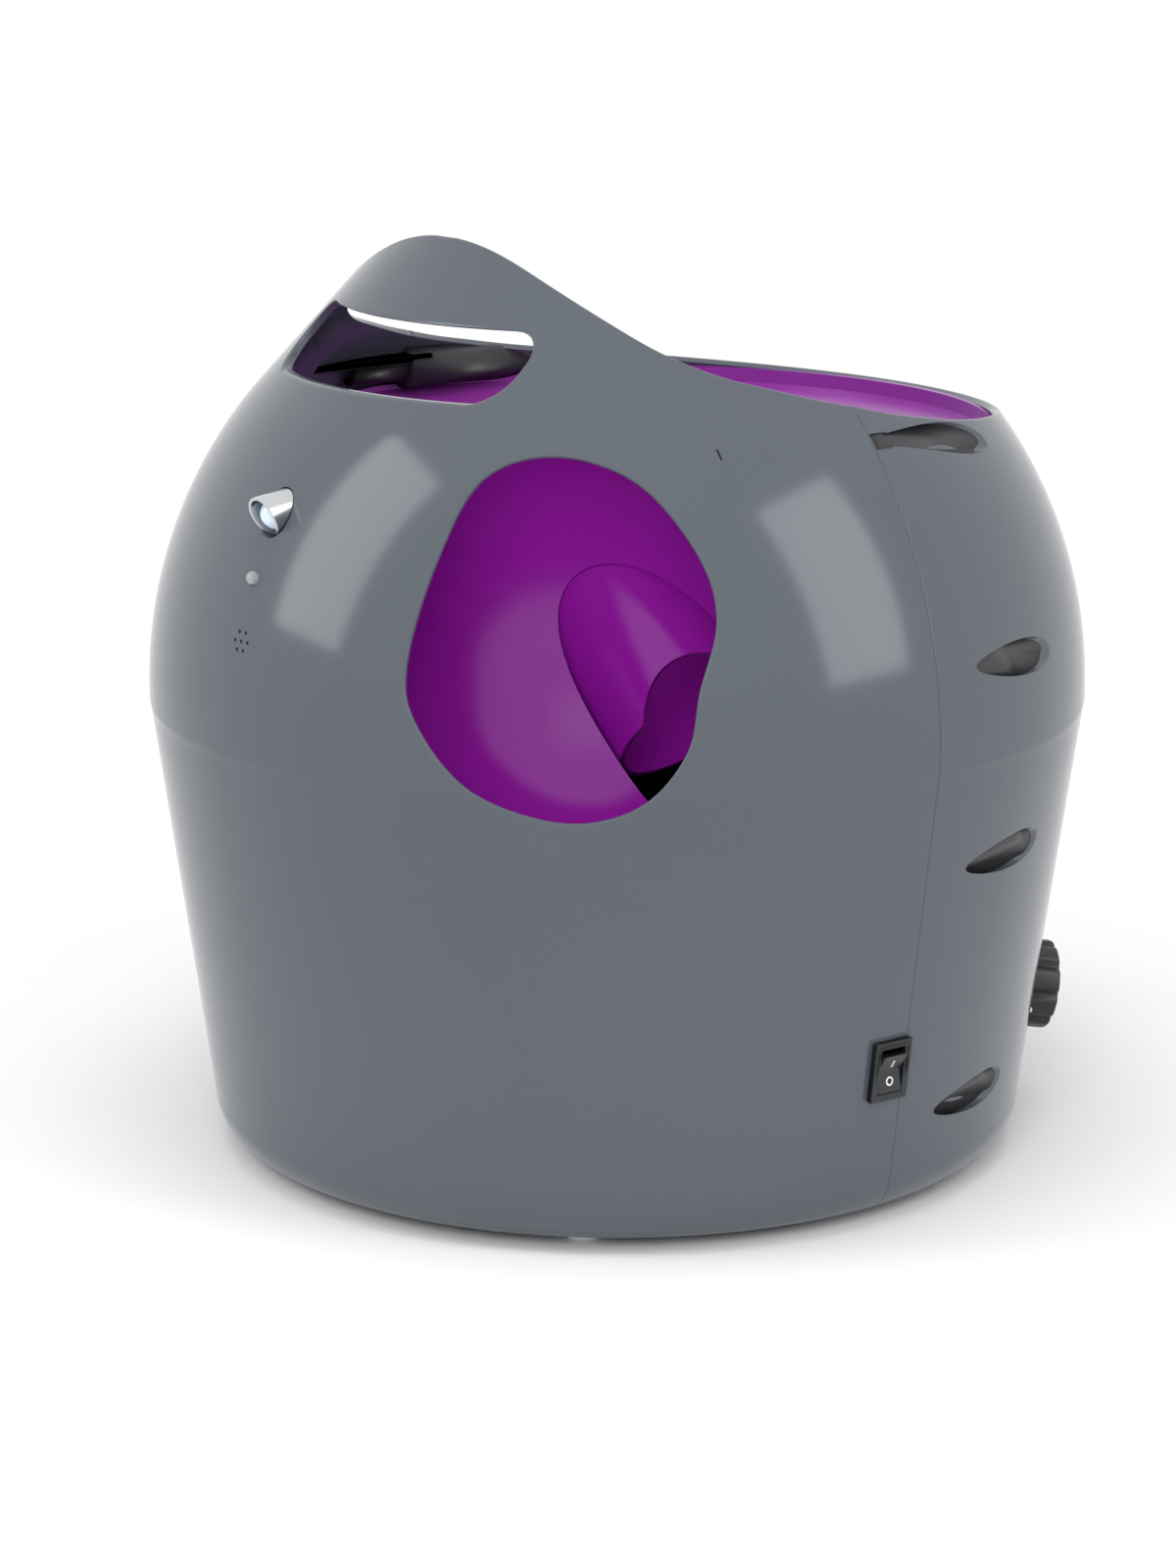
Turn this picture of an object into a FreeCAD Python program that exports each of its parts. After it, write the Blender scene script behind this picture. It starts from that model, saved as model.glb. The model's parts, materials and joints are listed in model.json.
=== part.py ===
"""Automatic dog ball launcher: a domed two-part casing round a ball hopper, a
feed chute, a launch chamber and a motor-driven spring plunger.

Millimetres, +Z up, origin on the floor under the middle of the casing. The
handle, the motion sensor and the launch direction face -Y, and +X is the right
hand side seen from the front.
"""
import FreeCAD, Part
import math
import os

from FreeCAD import Vector

PARTS = {}

# Ball and running clearances
BALL_R = 31.0
FIT = 0.4            # gap between pieces that sit side by side
RUN = 0.06           # radial clearance of a turning shaft in its bore
SIDE_PLAY = 0.5      # gap beside a turning wheel

# Casing profile: flat bottom, slightly flared wall, belt, domed top
WALL = 3.0
BODY_Z = 3.0         # underside of the casing above the floor
BOTTOM_R = 127.0
FOOTING_R = 142.6
FOOTING_Z = 19.0
BELT_R = 162.0
BELT_Z = 158.0
DOME_R = 157.5
DOME_Z = 164.0
DOME_AXIS_R = 5.0
SLOPE_Z = 266.0
TOP_Z = 340.0
TOP_SLOPE = 0.90     # radius lost per height above the dome
LEDGE_IN = 112.0     # inner radius of the casing's bottom ledge

# Side view of the rim cut, from the back of the hopper to the top of the handle
RIM_CURVE = [(190, 254), (131, 256), (61, 262.5), (25, 268), (0, 273), (-22, 279),
             (-40, 284.5), (-53, 291.5), (-62, 300.5), (-69, 311), (-73.5, 323)]

# Handle slot through the front wall
SLOT_W = 117.0
SLOT_LOW = 275.5
SLOT_HIGH = 297.0
SLOT_CORNER = 9.5

# Launch opening: its plane and its egg-shaped outline (across, up) in that plane
OPEN_AT = Vector(102.6, -104.7, 205.7)
OPEN_AZ = 43.2
OPEN_EL = 17.7
OPEN_OUTLINE = [(-7, 59.4), (-29.6, 51.7), (-42.4, 25.7), (-51.1, -7.1), (-48, -25.9),
                (-29.7, -46.9), (-0.3, -55.8), (23.6, -50.1), (37.9, -33.5), (41.6, -14),
                (46, 8.8), (39, 29.4), (19, 51.4)]

# Screw pockets of the rear shell, mirrored left and right
POCKET_R = 6.0
POCKET_WALL = 2.2
POCKET_DEPTH_Y = 8.0
POCKET_Z = (259.0, 190.0, 124.0, 38.0)
POCKET_INSET = 7.2   # from the outside of the casing to the pocket's axis
SCREW_R = 1.8
SCREW_HEAD_R = 4.0
SCREW_HEAD_H = 3.0
SCREW_REACH = 20.0
BOSS_R = 5.0
BOSS_LENGTH = 30.0

# Feed chute and launch chamber
CHUTE_R = 33.0
CHUTE_WALL = 2.0
CHUTE_AZ = 98.0
CHUTE_SLOPE = 45.0
CHUTE_MOUTH = Vector(62.7, -12.4, 163.4)
CHAMBER_AT = Vector(79.4, -80.0, 194.9)
CHAMBER_R = 75.0
CHAMBER_WALL = 2.0
HOPPER_RIM_Z = 250.0
HOPPER_RIM_R = 131.0
HOPPER_LIP = 5.0
HOPPER_LOW_Z = 226.0
HOPPER_LOW_R = 30.0
HOPPER_WALL = 2.5

# Launcher module, laid out along -Y about the ball and then tilted
BALL_SEAT = Vector(102.0, -4.0, 124.0)
LAUNCH_ANGLE = 45.0
TILT_RANGE = 4.0
CRADLE_R = 33.5
CRADLE_WALL = 2.5
CRADLE_FRONT = 44.0
CRADLE_BACK = 35.0
TUBE_R = 15.0
TUBE_WALL = 3.0
TUBE_END = 99.0
CAP_T = 3.0
HEAD_R = 14.9
HEAD_FACE = 33.0
HEAD_T = 10.0
STROKE = 30.0
ROD_R = 4.0
COIL_R = 10.5
WIRE_R = 1.1
WIRE_FLATS = 12
COIL_TURNS = 7
MODULE = 1.0
RACK_W = 8.0
RACK_H = 6.0
RACK_DROP = 20.0     # top of the rack below the launch axis
DRIVE_TEETH = 24
DRIVE_SWEEP = 195.0    # toothed part of the drive gear's rim, degrees
BIG_TEETH = 40
SMALL_TEETH = 12
MIDDLE_TEETH = 36
MOTOR_TEETH = 10
SHAFT_R = 2.5
FACE_W = 5.0         # width of the reduction gears
MOTOR_R = 13.5
MOTOR_LENGTH = 36.0
PLATE_T = 2.0
PIVOT_R = 6.0
STAND_T = 6.0          # inner pivot stand
BEARING_T = 3.0        # outer pivot bearing

# Base, batteries and electronics
BASE_T = 3.0
BASE_R = 123.0
FOOT_R = 6.5
FOOT_AT_R = 119.0
CELL_R = 16.5
CELL_LENGTH = 59.0
CELL_GAP = 3.0
BOX_WALL = 2.0
BOX_AT = Vector(-32.0, 0.0, 0.0)
BOARD_T = 1.6
BOARD_SIZE = (70.0, 46.0)
BOARD_AT = Vector(-30.0, -95.0, 0.0)
POST_H = 12.0

# Bottom plate and pivot supports
FLOOR_Z = BODY_Z + WALL          # top of the casing's ledge
BASE_TOP = FLOOR_Z + BASE_T
STAND_BACK = 6.0
STAND_W = 20.0
BEARING_DROP = 26.0

# Battery box and its door
CELLS_ACROSS = 3
CELL_PITCH = 2 * CELL_R + CELL_GAP
BOX_HALF_X = CELLS_ACROSS * CELL_PITCH / 2
CONTACT_ROOM = 8.0
BOX_HALF_Y = CELL_LENGTH + CONTACT_ROOM
DOOR_MARGIN = 3.0
DOOR_LIP = 4.0
DOOR_LIP_T = 1.8
CELL_HEADROOM = 2.0
BOX_TOP = BASE_TOP + 2 * CELL_R + CELL_HEADROOM

# Gear centres in the module's own frame: y runs back from the ball, z up
DRIVE_Y = 78.0
RACK_PLAY = 0.1
DRIVE_Z = -(RACK_DROP + RACK_H + MODULE * DRIVE_TEETH / 2 + RACK_PLAY)
GEAR_PLAY = 0.25
BIG_TO_SMALL = MODULE * (BIG_TEETH + SMALL_TEETH) / 2 + GEAR_PLAY
MIDDLE_TO_MOTOR = MODULE * (MIDDLE_TEETH + MOTOR_TEETH) / 2 + GEAR_PLAY
SMALL_TURN = math.radians(20)    # slope from the drive shaft down to the compound shaft
SMALL_Y = DRIVE_Y - BIG_TO_SMALL * math.cos(SMALL_TURN)
SMALL_Z = DRIVE_Z - BIG_TO_SMALL * math.sin(SMALL_TURN)
MOTOR_Y = SMALL_Y - MIDDLE_TO_MOTOR
MOTOR_Z = SMALL_Z
PAD_Y = 40.0
PAD_LENGTH = 12.0
BIG_X = -12.0
MIDDLE_X = BIG_X - FACE_W - 1.0
INNER_PLATE_X = MIDDLE_X - FACE_W / 2 - SIDE_PLAY - PLATE_T
OUTER_PLATE_X = RACK_W / 2 + 3.0

# Places along the tilt axis, from the middle of the ball
STUB_LENGTH = 6.0
STUB_X = -CRADLE_R - STUB_LENGTH
STAND_X = STUB_X - SIDE_PLAY - STAND_T
DETENT_T = 4.0
DETENT_X = STAND_X - SIDE_PLAY - DETENT_T
DETENT_R = 16.0
DETENT_POSITIONS = 5
NOTCH_R = 0.45
BEARING_X = CRADLE_R + CRADLE_WALL + FIT
BEARING_R = 10.0
STAND_R = 13.0

# Places on the front wall
SENSOR_Z = 238.0
LED_Z = 217.6
SPEAKER_Z = 197.5
SENSOR_R = 7.0
LED_R = 2.3
HOLE_R = 0.7
HOLE_RING = 3.4
SWITCH_AZ = 87.2
SWITCH_Z = 58.0
SWITCH_W = 13.0
SWITCH_H = 19.0
SWITCH_RIM = 1.2
SWITCH_WALL = 1.4
SWITCH_LIP = 1.0
ROCKER_LIFT = 3.4
ROCKER_PIN_Y = 2.0     # depth of the rocker's pin behind the wall
SWITCH_DEPTH = 16.0
ROCKER_THROW = 14.0    # degrees between off and on
CONE_EL = -math.degrees(math.atan((BELT_R - FOOTING_R) / (BELT_Z - FOOTING_Z)))

# Places on the rear wall
DIAL_AZ = 150.0
DIAL_Z = 46.0
DIAL_R = 16.0
DIAL_H = 11.0
DIAL_STEM_R = 3.0
JACK_AZ = 180.0
JACK_Z = 45.0
JACK_R = 5.5
JACK_FLANGE = 2.0
JACK_BORE_R = 2.75
JACK_DEPTH = 14.0
PIN_R = 1.05
GRIP_FLUTES = 9
GRIP_FLUTE_R = 2.5
ENCODER_HALF = 9.0

# Small gaps and reaches of cutting tools
SNUG = 0.1           # round a fixed piece in its hole
THROUGH = 14.0       # reach of a tool to both sides of the wall
SLOT_ARM = 2.2       # half length of a screw's cross slot
SLOT_HALF = 0.5
SLOT_DEPTH = 1.5


def direction(azimuth, elevation):
    """Unit vector that faces out of the casing at an angle from the front."""
    a = math.radians(azimuth)
    e = math.radians(elevation)
    return Vector(math.sin(a) * math.cos(e), -math.cos(a) * math.cos(e), math.sin(e))


def facing(shape, origin, azimuth, elevation):
    """Turn a shape built to face -Y about the origin, and move it to a point."""
    turned = shape.copy()
    turned.rotate(Vector(0, 0, 0), Vector(1, 0, 0), -elevation)
    turned.rotate(Vector(0, 0, 0), Vector(0, 0, 1), azimuth)
    turned.translate(origin)
    return turned


def rod(radius, start, end):
    """A round bar between two points."""
    way = end - start
    return Part.makeCylinder(radius, way.Length, start, way)


def tube(outer, inner, start, end):
    """A round tube between two points, open at both ends."""
    way = end - start
    over = way * (1.0 / way.Length)
    return rod(outer, start, end).cut(rod(inner, start - over, end + over))


def box(low, high):
    """A block between two corners."""
    size = high - low
    return Part.makeBox(size.x, size.y, size.z, low)


def mirrored_x(shape):
    """The same shape on the other side of the front plane."""
    return shape.mirror(Vector(0, 0, 0), Vector(1, 0, 0))


def joined(shapes):
    """Fuse pieces into one clean solid."""
    body = shapes[0]
    for other in shapes[1:]:
        body = body.fuse(other)
    return body.removeSplitter()


def keep(name, shape):
    """Record one piece under its name."""
    PARTS[name] = shape
    return shape


def outer_radius(z):
    """Outside radius of the casing at a height."""
    if z <= FOOTING_Z:
        drop = (FOOTING_Z - z) / (FOOTING_Z - BODY_Z)
        return BOTTOM_R + (FOOTING_R - BOTTOM_R) * math.sqrt(max(0.0, 1 - drop * drop))
    if z <= BELT_Z:
        return FOOTING_R + (BELT_R - FOOTING_R) * (z - FOOTING_Z) / (BELT_Z - FOOTING_Z)
    if z <= SLOPE_Z:
        return DOME_AXIS_R + math.sqrt(DOME_R ** 2 - (z - DOME_Z) ** 2)
    return outer_radius(SLOPE_Z) - TOP_SLOPE * (z - SLOPE_Z)


def casing_solid(inset):
    """Turned casing volume, with its side wall moved in by a distance."""
    low = BODY_Z + inset

    def at(z):
        return Vector(outer_radius(z) - inset, 0, z)

    belt_mid = 0.5 * (DOME_Z + SLOPE_Z)
    foot_mid = BODY_Z + 0.35 * (FOOTING_Z - BODY_Z)
    bottom = Vector(BOTTOM_R - inset, 0, low)
    edges = [
        Part.LineSegment(Vector(0, 0, low), bottom).toShape(),
        Part.Arc(bottom, at(max(foot_mid, low + 2)), at(FOOTING_Z)).toShape(),
        Part.LineSegment(at(FOOTING_Z), at(BELT_Z)).toShape(),
        Part.LineSegment(at(BELT_Z), at(DOME_Z)).toShape(),
        Part.Arc(at(DOME_Z), at(belt_mid), at(SLOPE_Z)).toShape(),
        Part.LineSegment(at(SLOPE_Z), at(TOP_Z)).toShape(),
        Part.LineSegment(at(TOP_Z), Vector(0, 0, TOP_Z)).toShape(),
        Part.LineSegment(Vector(0, 0, TOP_Z), Vector(0, 0, low)).toShape(),
    ]
    face = Part.Face(Part.Wire(edges))
    return face.revolve(Vector(0, 0, 0), Vector(0, 0, 1), 360)


def rim_cutter():
    """Everything above the rim curve, which is the same from left to right."""
    reach = 2 * BELT_R
    points = [Vector(-reach, y, z) for y, z in RIM_CURVE]
    curve = Part.BSplineCurve()
    curve.interpolate(points)
    top = TOP_Z + 10
    front_top = Vector(-reach, points[-1].y, top)
    back_top = Vector(-reach, points[0].y, top)
    edges = [
        curve.toShape(),
        Part.LineSegment(points[-1], front_top).toShape(),
        Part.LineSegment(front_top, back_top).toShape(),
        Part.LineSegment(back_top, points[0]).toShape(),
    ]
    return Part.Face(Part.Wire(edges)).extrude(Vector(2 * reach, 0, 0))


def handle_slot():
    """Rounded slot under the handle, cut straight back through the front wall."""
    half = SLOT_W / 2
    block = box(Vector(-half, -BELT_R, SLOT_LOW), Vector(half, 0, SLOT_HIGH))
    long_edges = [e for e in block.Edges if abs(e.tangentAt(e.FirstParameter).y) > 0.9]
    return block.makeFillet(SLOT_CORNER, long_edges)


def opening_tool():
    """Egg-shaped bar that cuts the launch opening square to its own plane."""
    points = [Vector(across, 0, up) for across, up in OPEN_OUTLINE]
    curve = Part.BSplineCurve()
    curve.interpolate(points, True)
    face = Part.Face(Part.Wire([curve.toShape()]))
    bar = face.extrude(Vector(0, -40, 0))
    bar = bar.fuse(face.extrude(Vector(0, 40, 0)))
    return facing(bar.removeSplitter(), OPEN_AT, OPEN_AZ, OPEN_EL)


def pocket_axis_x(z):
    """Distance of a screw pocket's axis from the front plane."""
    return outer_radius(z) - POCKET_INSET


# Casing volumes that the other pieces are cut from
OUTSIDE = casing_solid(0.0)
INSIDE = casing_solid(WALL)
ROOM = casing_solid(WALL + FIT)
SHELL = OUTSIDE.cut(INSIDE).cut(rim_cutter())
LEDGE_OPENING = rod(LEDGE_IN, Vector(0, 0, 0), Vector(0, 0, BODY_Z + 2 * WALL))
SHELL = SHELL.cut(LEDGE_OPENING)
FRONT_HALF = box(Vector(-200, -200, -10), Vector(200, 0, 400))
REAR_HALF = box(Vector(-200, 0, -10), Vector(200, 200, 400))


def on_wall(shape, azimuth, z, elevation):
    """Put a shape that faces -Y on the outside of the casing."""
    r = outer_radius(z)
    origin = Vector(0, 0, z) + direction(azimuth, 0) * r
    return facing(shape, origin, azimuth, elevation)


def wall_slope(z):
    """Upward tilt of the wall's outward direction at a height."""
    rise = outer_radius(z + 1) - outer_radius(z - 1)
    return -math.degrees(math.atan(rise / 2))


SENSOR_EL = -8.0
LED_EL = wall_slope(LED_Z)
SPEAKER_EL = wall_slope(SPEAKER_Z)


def bar_out(radius, inner, outer):
    """Round bar along the outward axis, from inside the wall to outside it."""
    return rod(radius, Vector(0, inner, 0), Vector(0, -outer, 0))


def launch_axis(angle):
    """Direction that the ball leaves in."""
    return direction(0, angle)


def on_module(shape, angle=LAUNCH_ANGLE):
    """Tilt a piece laid out along -Y about the ball, and seat it."""
    return facing(shape, BALL_SEAT, 0, angle)


def chute_way():
    """Direction in which the ball rolls down the chute."""
    return direction(CHUTE_AZ, -CHUTE_SLOPE)


def ball_paths(radius, start, end):
    """Bars along the launch axis at both ends and the middle of the tilt."""
    bars = []
    for angle in (LAUNCH_ANGLE - TILT_RANGE, LAUNCH_ANGLE, LAUNCH_ANGLE + TILT_RANGE):
        way = launch_axis(angle)
        bars.append(rod(radius, BALL_SEAT + way * start, BALL_SEAT + way * end))
    return bars


def make_front_shell():
    """Front half of the casing with the handle, the windows and the screw posts."""
    shell = SHELL.common(FRONT_HALF)
    shell = shell.cut(handle_slot()).cut(opening_tool())
    posts = []
    for z in POCKET_Z:
        x = pocket_axis_x(z)
        post = rod(BOSS_R, Vector(x, -BOSS_LENGTH, z), Vector(x, 0, z)).common(OUTSIDE)
        posts += [post, mirrored_x(post)]
    shell = joined([shell] + posts)
    for z in POCKET_Z:
        x = pocket_axis_x(z)
        hole = rod(SCREW_R + SNUG, Vector(x, -SCREW_REACH - 1, z), Vector(x, 1, z))
        shell = shell.cut(hole).cut(mirrored_x(hole))
    shell = shell.cut(on_wall(bar_out(SENSOR_R + 2 * SNUG, THROUGH, THROUGH), 0, SENSOR_Z, SENSOR_EL))
    shell = shell.cut(on_wall(bar_out(LED_R + SNUG, THROUGH, THROUGH), 0, LED_Z, LED_EL))
    shell = shell.cut(on_wall(speaker_holes(), 0, SPEAKER_Z, SPEAKER_EL))
    half_w = SWITCH_W / 2 + SNUG
    half_h = SWITCH_H / 2 + SNUG
    window = box(Vector(-half_w, -6, -half_h), Vector(half_w, 10, half_h))
    shell = shell.cut(on_wall(window, SWITCH_AZ, SWITCH_Z, CONE_EL))
    keep("front_shell", biggest(shell))


def speaker_holes():
    """Seven small sound holes: one in the middle and six round it."""
    holes = [bar_out(HOLE_R, THROUGH, THROUGH)]
    for k in range(6):
        turn = math.radians(60 * k)
        hole = bar_out(HOLE_R, THROUGH, THROUGH)
        hole.translate(Vector(HOLE_RING * math.cos(turn), 0, HOLE_RING * math.sin(turn)))
        holes.append(hole)
    return Part.makeCompound(holes)


def make_rear_shell():
    """Rear half of the casing with eight deep screw pockets."""
    shell = SHELL.common(REAR_HALF)
    sleeves = []
    for z in POCKET_Z:
        x = pocket_axis_x(z)
        sleeve = rod(POCKET_R + POCKET_WALL, Vector(x, 0, z), Vector(x, BELT_R, z))
        sleeve = sleeve.common(OUTSIDE)
        sleeves += [sleeve, mirrored_x(sleeve)]
    shell = joined([shell] + sleeves)
    for z in POCKET_Z:
        x = pocket_axis_x(z)
        pocket = rod(POCKET_R, Vector(x, POCKET_DEPTH_Y, z), Vector(x, 2 * BELT_R, z))
        hole = rod(SCREW_R + SNUG, Vector(x, -1, z), Vector(x, POCKET_DEPTH_Y + 1, z))
        for tool in (pocket, hole):
            shell = shell.cut(tool).cut(mirrored_x(tool))
    shell = shell.cut(rim_cutter())
    shell = shell.cut(on_wall(bar_out(DIAL_STEM_R + RUN, THROUGH, THROUGH), DIAL_AZ, DIAL_Z, CONE_EL))
    shell = shell.cut(on_wall(bar_out(JACK_R + SNUG, THROUGH, THROUGH), JACK_AZ, JACK_Z, 0))
    shell = shell.cut(on_wall(bar_out(JACK_R + JACK_FLANGE + 2 * SNUG, 1.2, THROUGH), JACK_AZ, JACK_Z, 0))
    keep("rear_shell", biggest(shell))


def make_shell_screws():
    """Eight long screws that hold the two shells together."""
    screws = []
    for z in POCKET_Z:
        x = pocket_axis_x(z)
        head_y = POCKET_DEPTH_Y + SCREW_HEAD_H
        head = rod(SCREW_HEAD_R, Vector(x, POCKET_DEPTH_Y, z), Vector(x, head_y, z))
        shank = rod(SCREW_R, Vector(x, -SCREW_REACH, z), Vector(x, POCKET_DEPTH_Y + 1, z))
        cross = joined([
            box(Vector(x - SLOT_ARM, head_y - SLOT_DEPTH, z - SLOT_HALF),
                Vector(x + SLOT_ARM, head_y + 1, z + SLOT_HALF)),
            box(Vector(x - SLOT_HALF, head_y - SLOT_DEPTH, z - SLOT_ARM),
                Vector(x + SLOT_HALF, head_y + 1, z + SLOT_ARM)),
        ])
        screw = joined([head, shank]).cut(cross)
        screws += [screw, mirrored_x(screw)]
    keep("shell_screws", Part.makeCompound(screws))


def frustum(low_centre, low_r, high_centre, high_r):
    """Slanted cone between two level circles."""
    low = Part.Wire([Part.makeCircle(low_r, low_centre, Vector(0, 0, 1))])
    high = Part.Wire([Part.makeCircle(high_r, high_centre, Vector(0, 0, 1))])
    return Part.makeLoft([low, high], True, True)


def chute_point(distance):
    """Point on the chute's axis, measured down from its mouth."""
    return CHUTE_MOUTH + chute_way() * distance


def hopper_volumes():
    """Outside and inside of the hopper bowl, as solids."""
    way = chute_way()
    back = (HOPPER_LOW_Z - CHUTE_MOUTH.z) / way.z
    low = chute_point(back)
    high = Vector(0, 0, HOPPER_RIM_Z)
    under = Vector(0, 0, -HOPPER_WALL)
    outer = frustum(low + under, HOPPER_LOW_R + HOPPER_WALL, high + under, HOPPER_RIM_R)
    outer = outer.fuse(rod(HOPPER_RIM_R, high + under, high + Vector(0, 0, HOPPER_LIP)))
    inner = frustum(low, HOPPER_LOW_R, high, HOPPER_RIM_R - HOPPER_WALL)
    above = Vector(0, 0, HOPPER_LIP + 20)
    inner = inner.fuse(rod(HOPPER_RIM_R - HOPPER_WALL, high, high + above))
    return outer, inner


def make_hopper_funnel():
    """Sloping bowl under the rim that leads balls to the chute."""
    outer, inner = hopper_volumes()
    bore = rod(CHUTE_R, chute_point(-200), chute_point(0))
    funnel = outer.cut(inner).cut(bore)
    funnel = funnel.cut(Part.makeSphere(CHAMBER_R + CHAMBER_WALL + FIT, CHAMBER_AT))
    funnel = funnel.common(ROOM)
    z = POCKET_Z[0]
    x = pocket_axis_x(z)
    sleeve = rod(POCKET_R + POCKET_WALL + FIT, Vector(x, -80, z), Vector(x, 120, z))
    funnel = funnel.cut(sleeve).cut(mirrored_x(sleeve))
    keep("hopper_funnel", biggest(funnel))


def biggest(shape):
    """The largest solid of a cut piece, without any crumbs beside it."""
    return sorted(shape.Solids, key=lambda s: s.Volume)[-1]


def make_feed_chute():
    """Sloping tube that drops one ball at a time into the launch cradle."""
    outer = CHUTE_R + CHUTE_WALL
    chute = tube(outer, CHUTE_R, chute_point(-150), chute_point(0))
    lowered = hopper_volumes()[0].copy()
    lowered.translate(Vector(0, 0, -0.2))
    above = box(Vector(-200, -200, HOPPER_RIM_Z - 10), Vector(200, 200, 400))
    chute = chute.cut(lowered).cut(above)
    for bar in ball_paths(BALL_R + 2.0, 0, 160):
        chute = chute.cut(bar)
    keep("feed_chute", biggest(chute))


def make_launch_chamber():
    """Round bowl behind the launch opening, with holes for the chute and the ball."""
    bowl = Part.makeSphere(CHAMBER_R + CHAMBER_WALL, CHAMBER_AT)
    bowl = bowl.cut(Part.makeSphere(CHAMBER_R, CHAMBER_AT)).common(ROOM)
    chute_r = CHUTE_R + CHUTE_WALL
    bowl = bowl.cut(rod(chute_r + 0.2, chute_point(-150), chute_point(-1)))
    bowl = bowl.cut(rod(chute_r + 0.2, chute_point(-2), chute_point(80)))
    for bar in ball_paths(BALL_R + 3.0, 0, 90):
        bowl = bowl.cut(bar)
    bowl = bowl.cut(sensor_room())
    keep("launch_chamber", biggest(bowl))


def sensor_room():
    """Clear space behind the motion sensor and the upper screw posts."""
    room = on_wall(bar_out(SENSOR_R + 3, 30, 5), 0, SENSOR_Z, SENSOR_EL)
    for z in POCKET_Z:
        x = pocket_axis_x(z)
        post = rod(BOSS_R + FIT, Vector(x, -BOSS_LENGTH - FIT, z), Vector(x, 1, z))
        room = room.fuse(post)
    return room


def gear(teeth, width, bore, sweep=360.0):
    """Spur gear about the X axis, with straight-flanked teeth on part of the rim."""
    pitch = MODULE * teeth / 2
    root = pitch - 1.2 * MODULE
    tip = pitch + 0.9 * MODULE
    step = 360.0 / teeth
    body = Part.makeCylinder(root, width, Vector(-width / 2, 0, 0), Vector(1, 0, 0))
    count = int(round(sweep / step))
    half_root = math.radians(step * 0.30)
    half_tip = math.radians(step * 0.12)
    tooth_faces = []
    for k in range(count):
        mid = math.radians(k * step)
        corners = []
        for radius, off in ((root - 0.4, -half_root), (tip, -half_tip),
                            (tip, half_tip), (root - 0.4, half_root)):
            corners.append(Vector(-width / 2, radius * math.cos(mid + off),
                                  radius * math.sin(mid + off)))
        outline = Part.makePolygon(corners + [corners[0]])
        tooth_faces.append(Part.Face(outline).extrude(Vector(width, 0, 0)))
    body = body.multiFuse(tooth_faces).removeSplitter()
    hole = Part.makeCylinder(bore, width + 2, Vector(-width / 2 - 1, 0, 0), Vector(1, 0, 0))
    return body.cut(hole)


def shifted(shape, x, y, z):
    """Copy of a shape moved by three distances."""
    moved = shape.copy()
    moved.translate(Vector(x, y, z))
    return moved


def rack_slot(reach):
    """Slot in the underside of the barrel that the rack's arm runs in."""
    half = RACK_W / 2 + 0.4
    return box(Vector(-half, HEAD_FACE + 2, -RACK_DROP - 2), Vector(half, reach, 0))


def make_launch_barrel():
    """Cradle for the ball and, behind it, the plunger's tube, on two pivots."""
    cradle_out = CRADLE_R + CRADLE_WALL
    cradle = rod(cradle_out, Vector(0, -CRADLE_FRONT, 0), Vector(0, CRADLE_BACK, 0))
    tail = rod(TUBE_R + TUBE_WALL, Vector(0, 0, 0), Vector(0, TUBE_END, 0))
    barrel = cradle.fuse(tail)
    barrel = barrel.fuse(plate_pads())
    barrel = barrel.cut(rod(TUBE_R, Vector(0, 0, 0), Vector(0, TUBE_END + 1, 0)))
    hollow = rod(CRADLE_R, Vector(0, -CRADLE_FRONT - 1, 0), Vector(0, CRADLE_BACK - 4, 0))
    barrel = barrel.cut(hollow).cut(rack_slot(TUBE_END - 2))
    barrel = on_module(barrel)
    barrel = barrel.cut(Part.makeSphere(CHAMBER_R + CHAMBER_WALL + 4.0, CHAMBER_AT))
    drop = rod(CRADLE_R, BALL_SEAT, BALL_SEAT - chute_way() * 90)
    barrel = barrel.cut(drop)
    stub = rod(PIVOT_R + 4, pivot_point(STUB_X), pivot_point(-CRADLE_R - 0.3))
    pin = rod(PIVOT_R, pivot_point(CRADLE_R + 0.3), pivot_point(BEARING_X + BEARING_T))
    barrel = joined([barrel, stub, pin])
    keep("launch_barrel", biggest(barrel))


def pivot_point(along):
    """Point on the tilt axis."""
    return BALL_SEAT + Vector(along, 0, 0)


def plate_pads():
    """Solid pads on both sides of the rack that the gear plates are screwed to."""
    low = -(RACK_DROP + RACK_H + 1.0)
    left = box(Vector(INNER_PLATE_X + PLATE_T, PAD_Y, low), Vector(-9, PAD_Y + PAD_LENGTH, -10))
    half = RACK_W / 2 + 1.2
    right = box(Vector(half, PAD_Y, low), Vector(OUTER_PLATE_X, PAD_Y + PAD_LENGTH, -12))
    return left.fuse(right)


def detent_turn(k):
    """Angle of a notch on the detent disc, one for each launch angle."""
    step = 2 * TILT_RANGE / (DETENT_POSITIONS - 1)
    return math.radians(step * (k - (DETENT_POSITIONS - 1) / 2))


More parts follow.
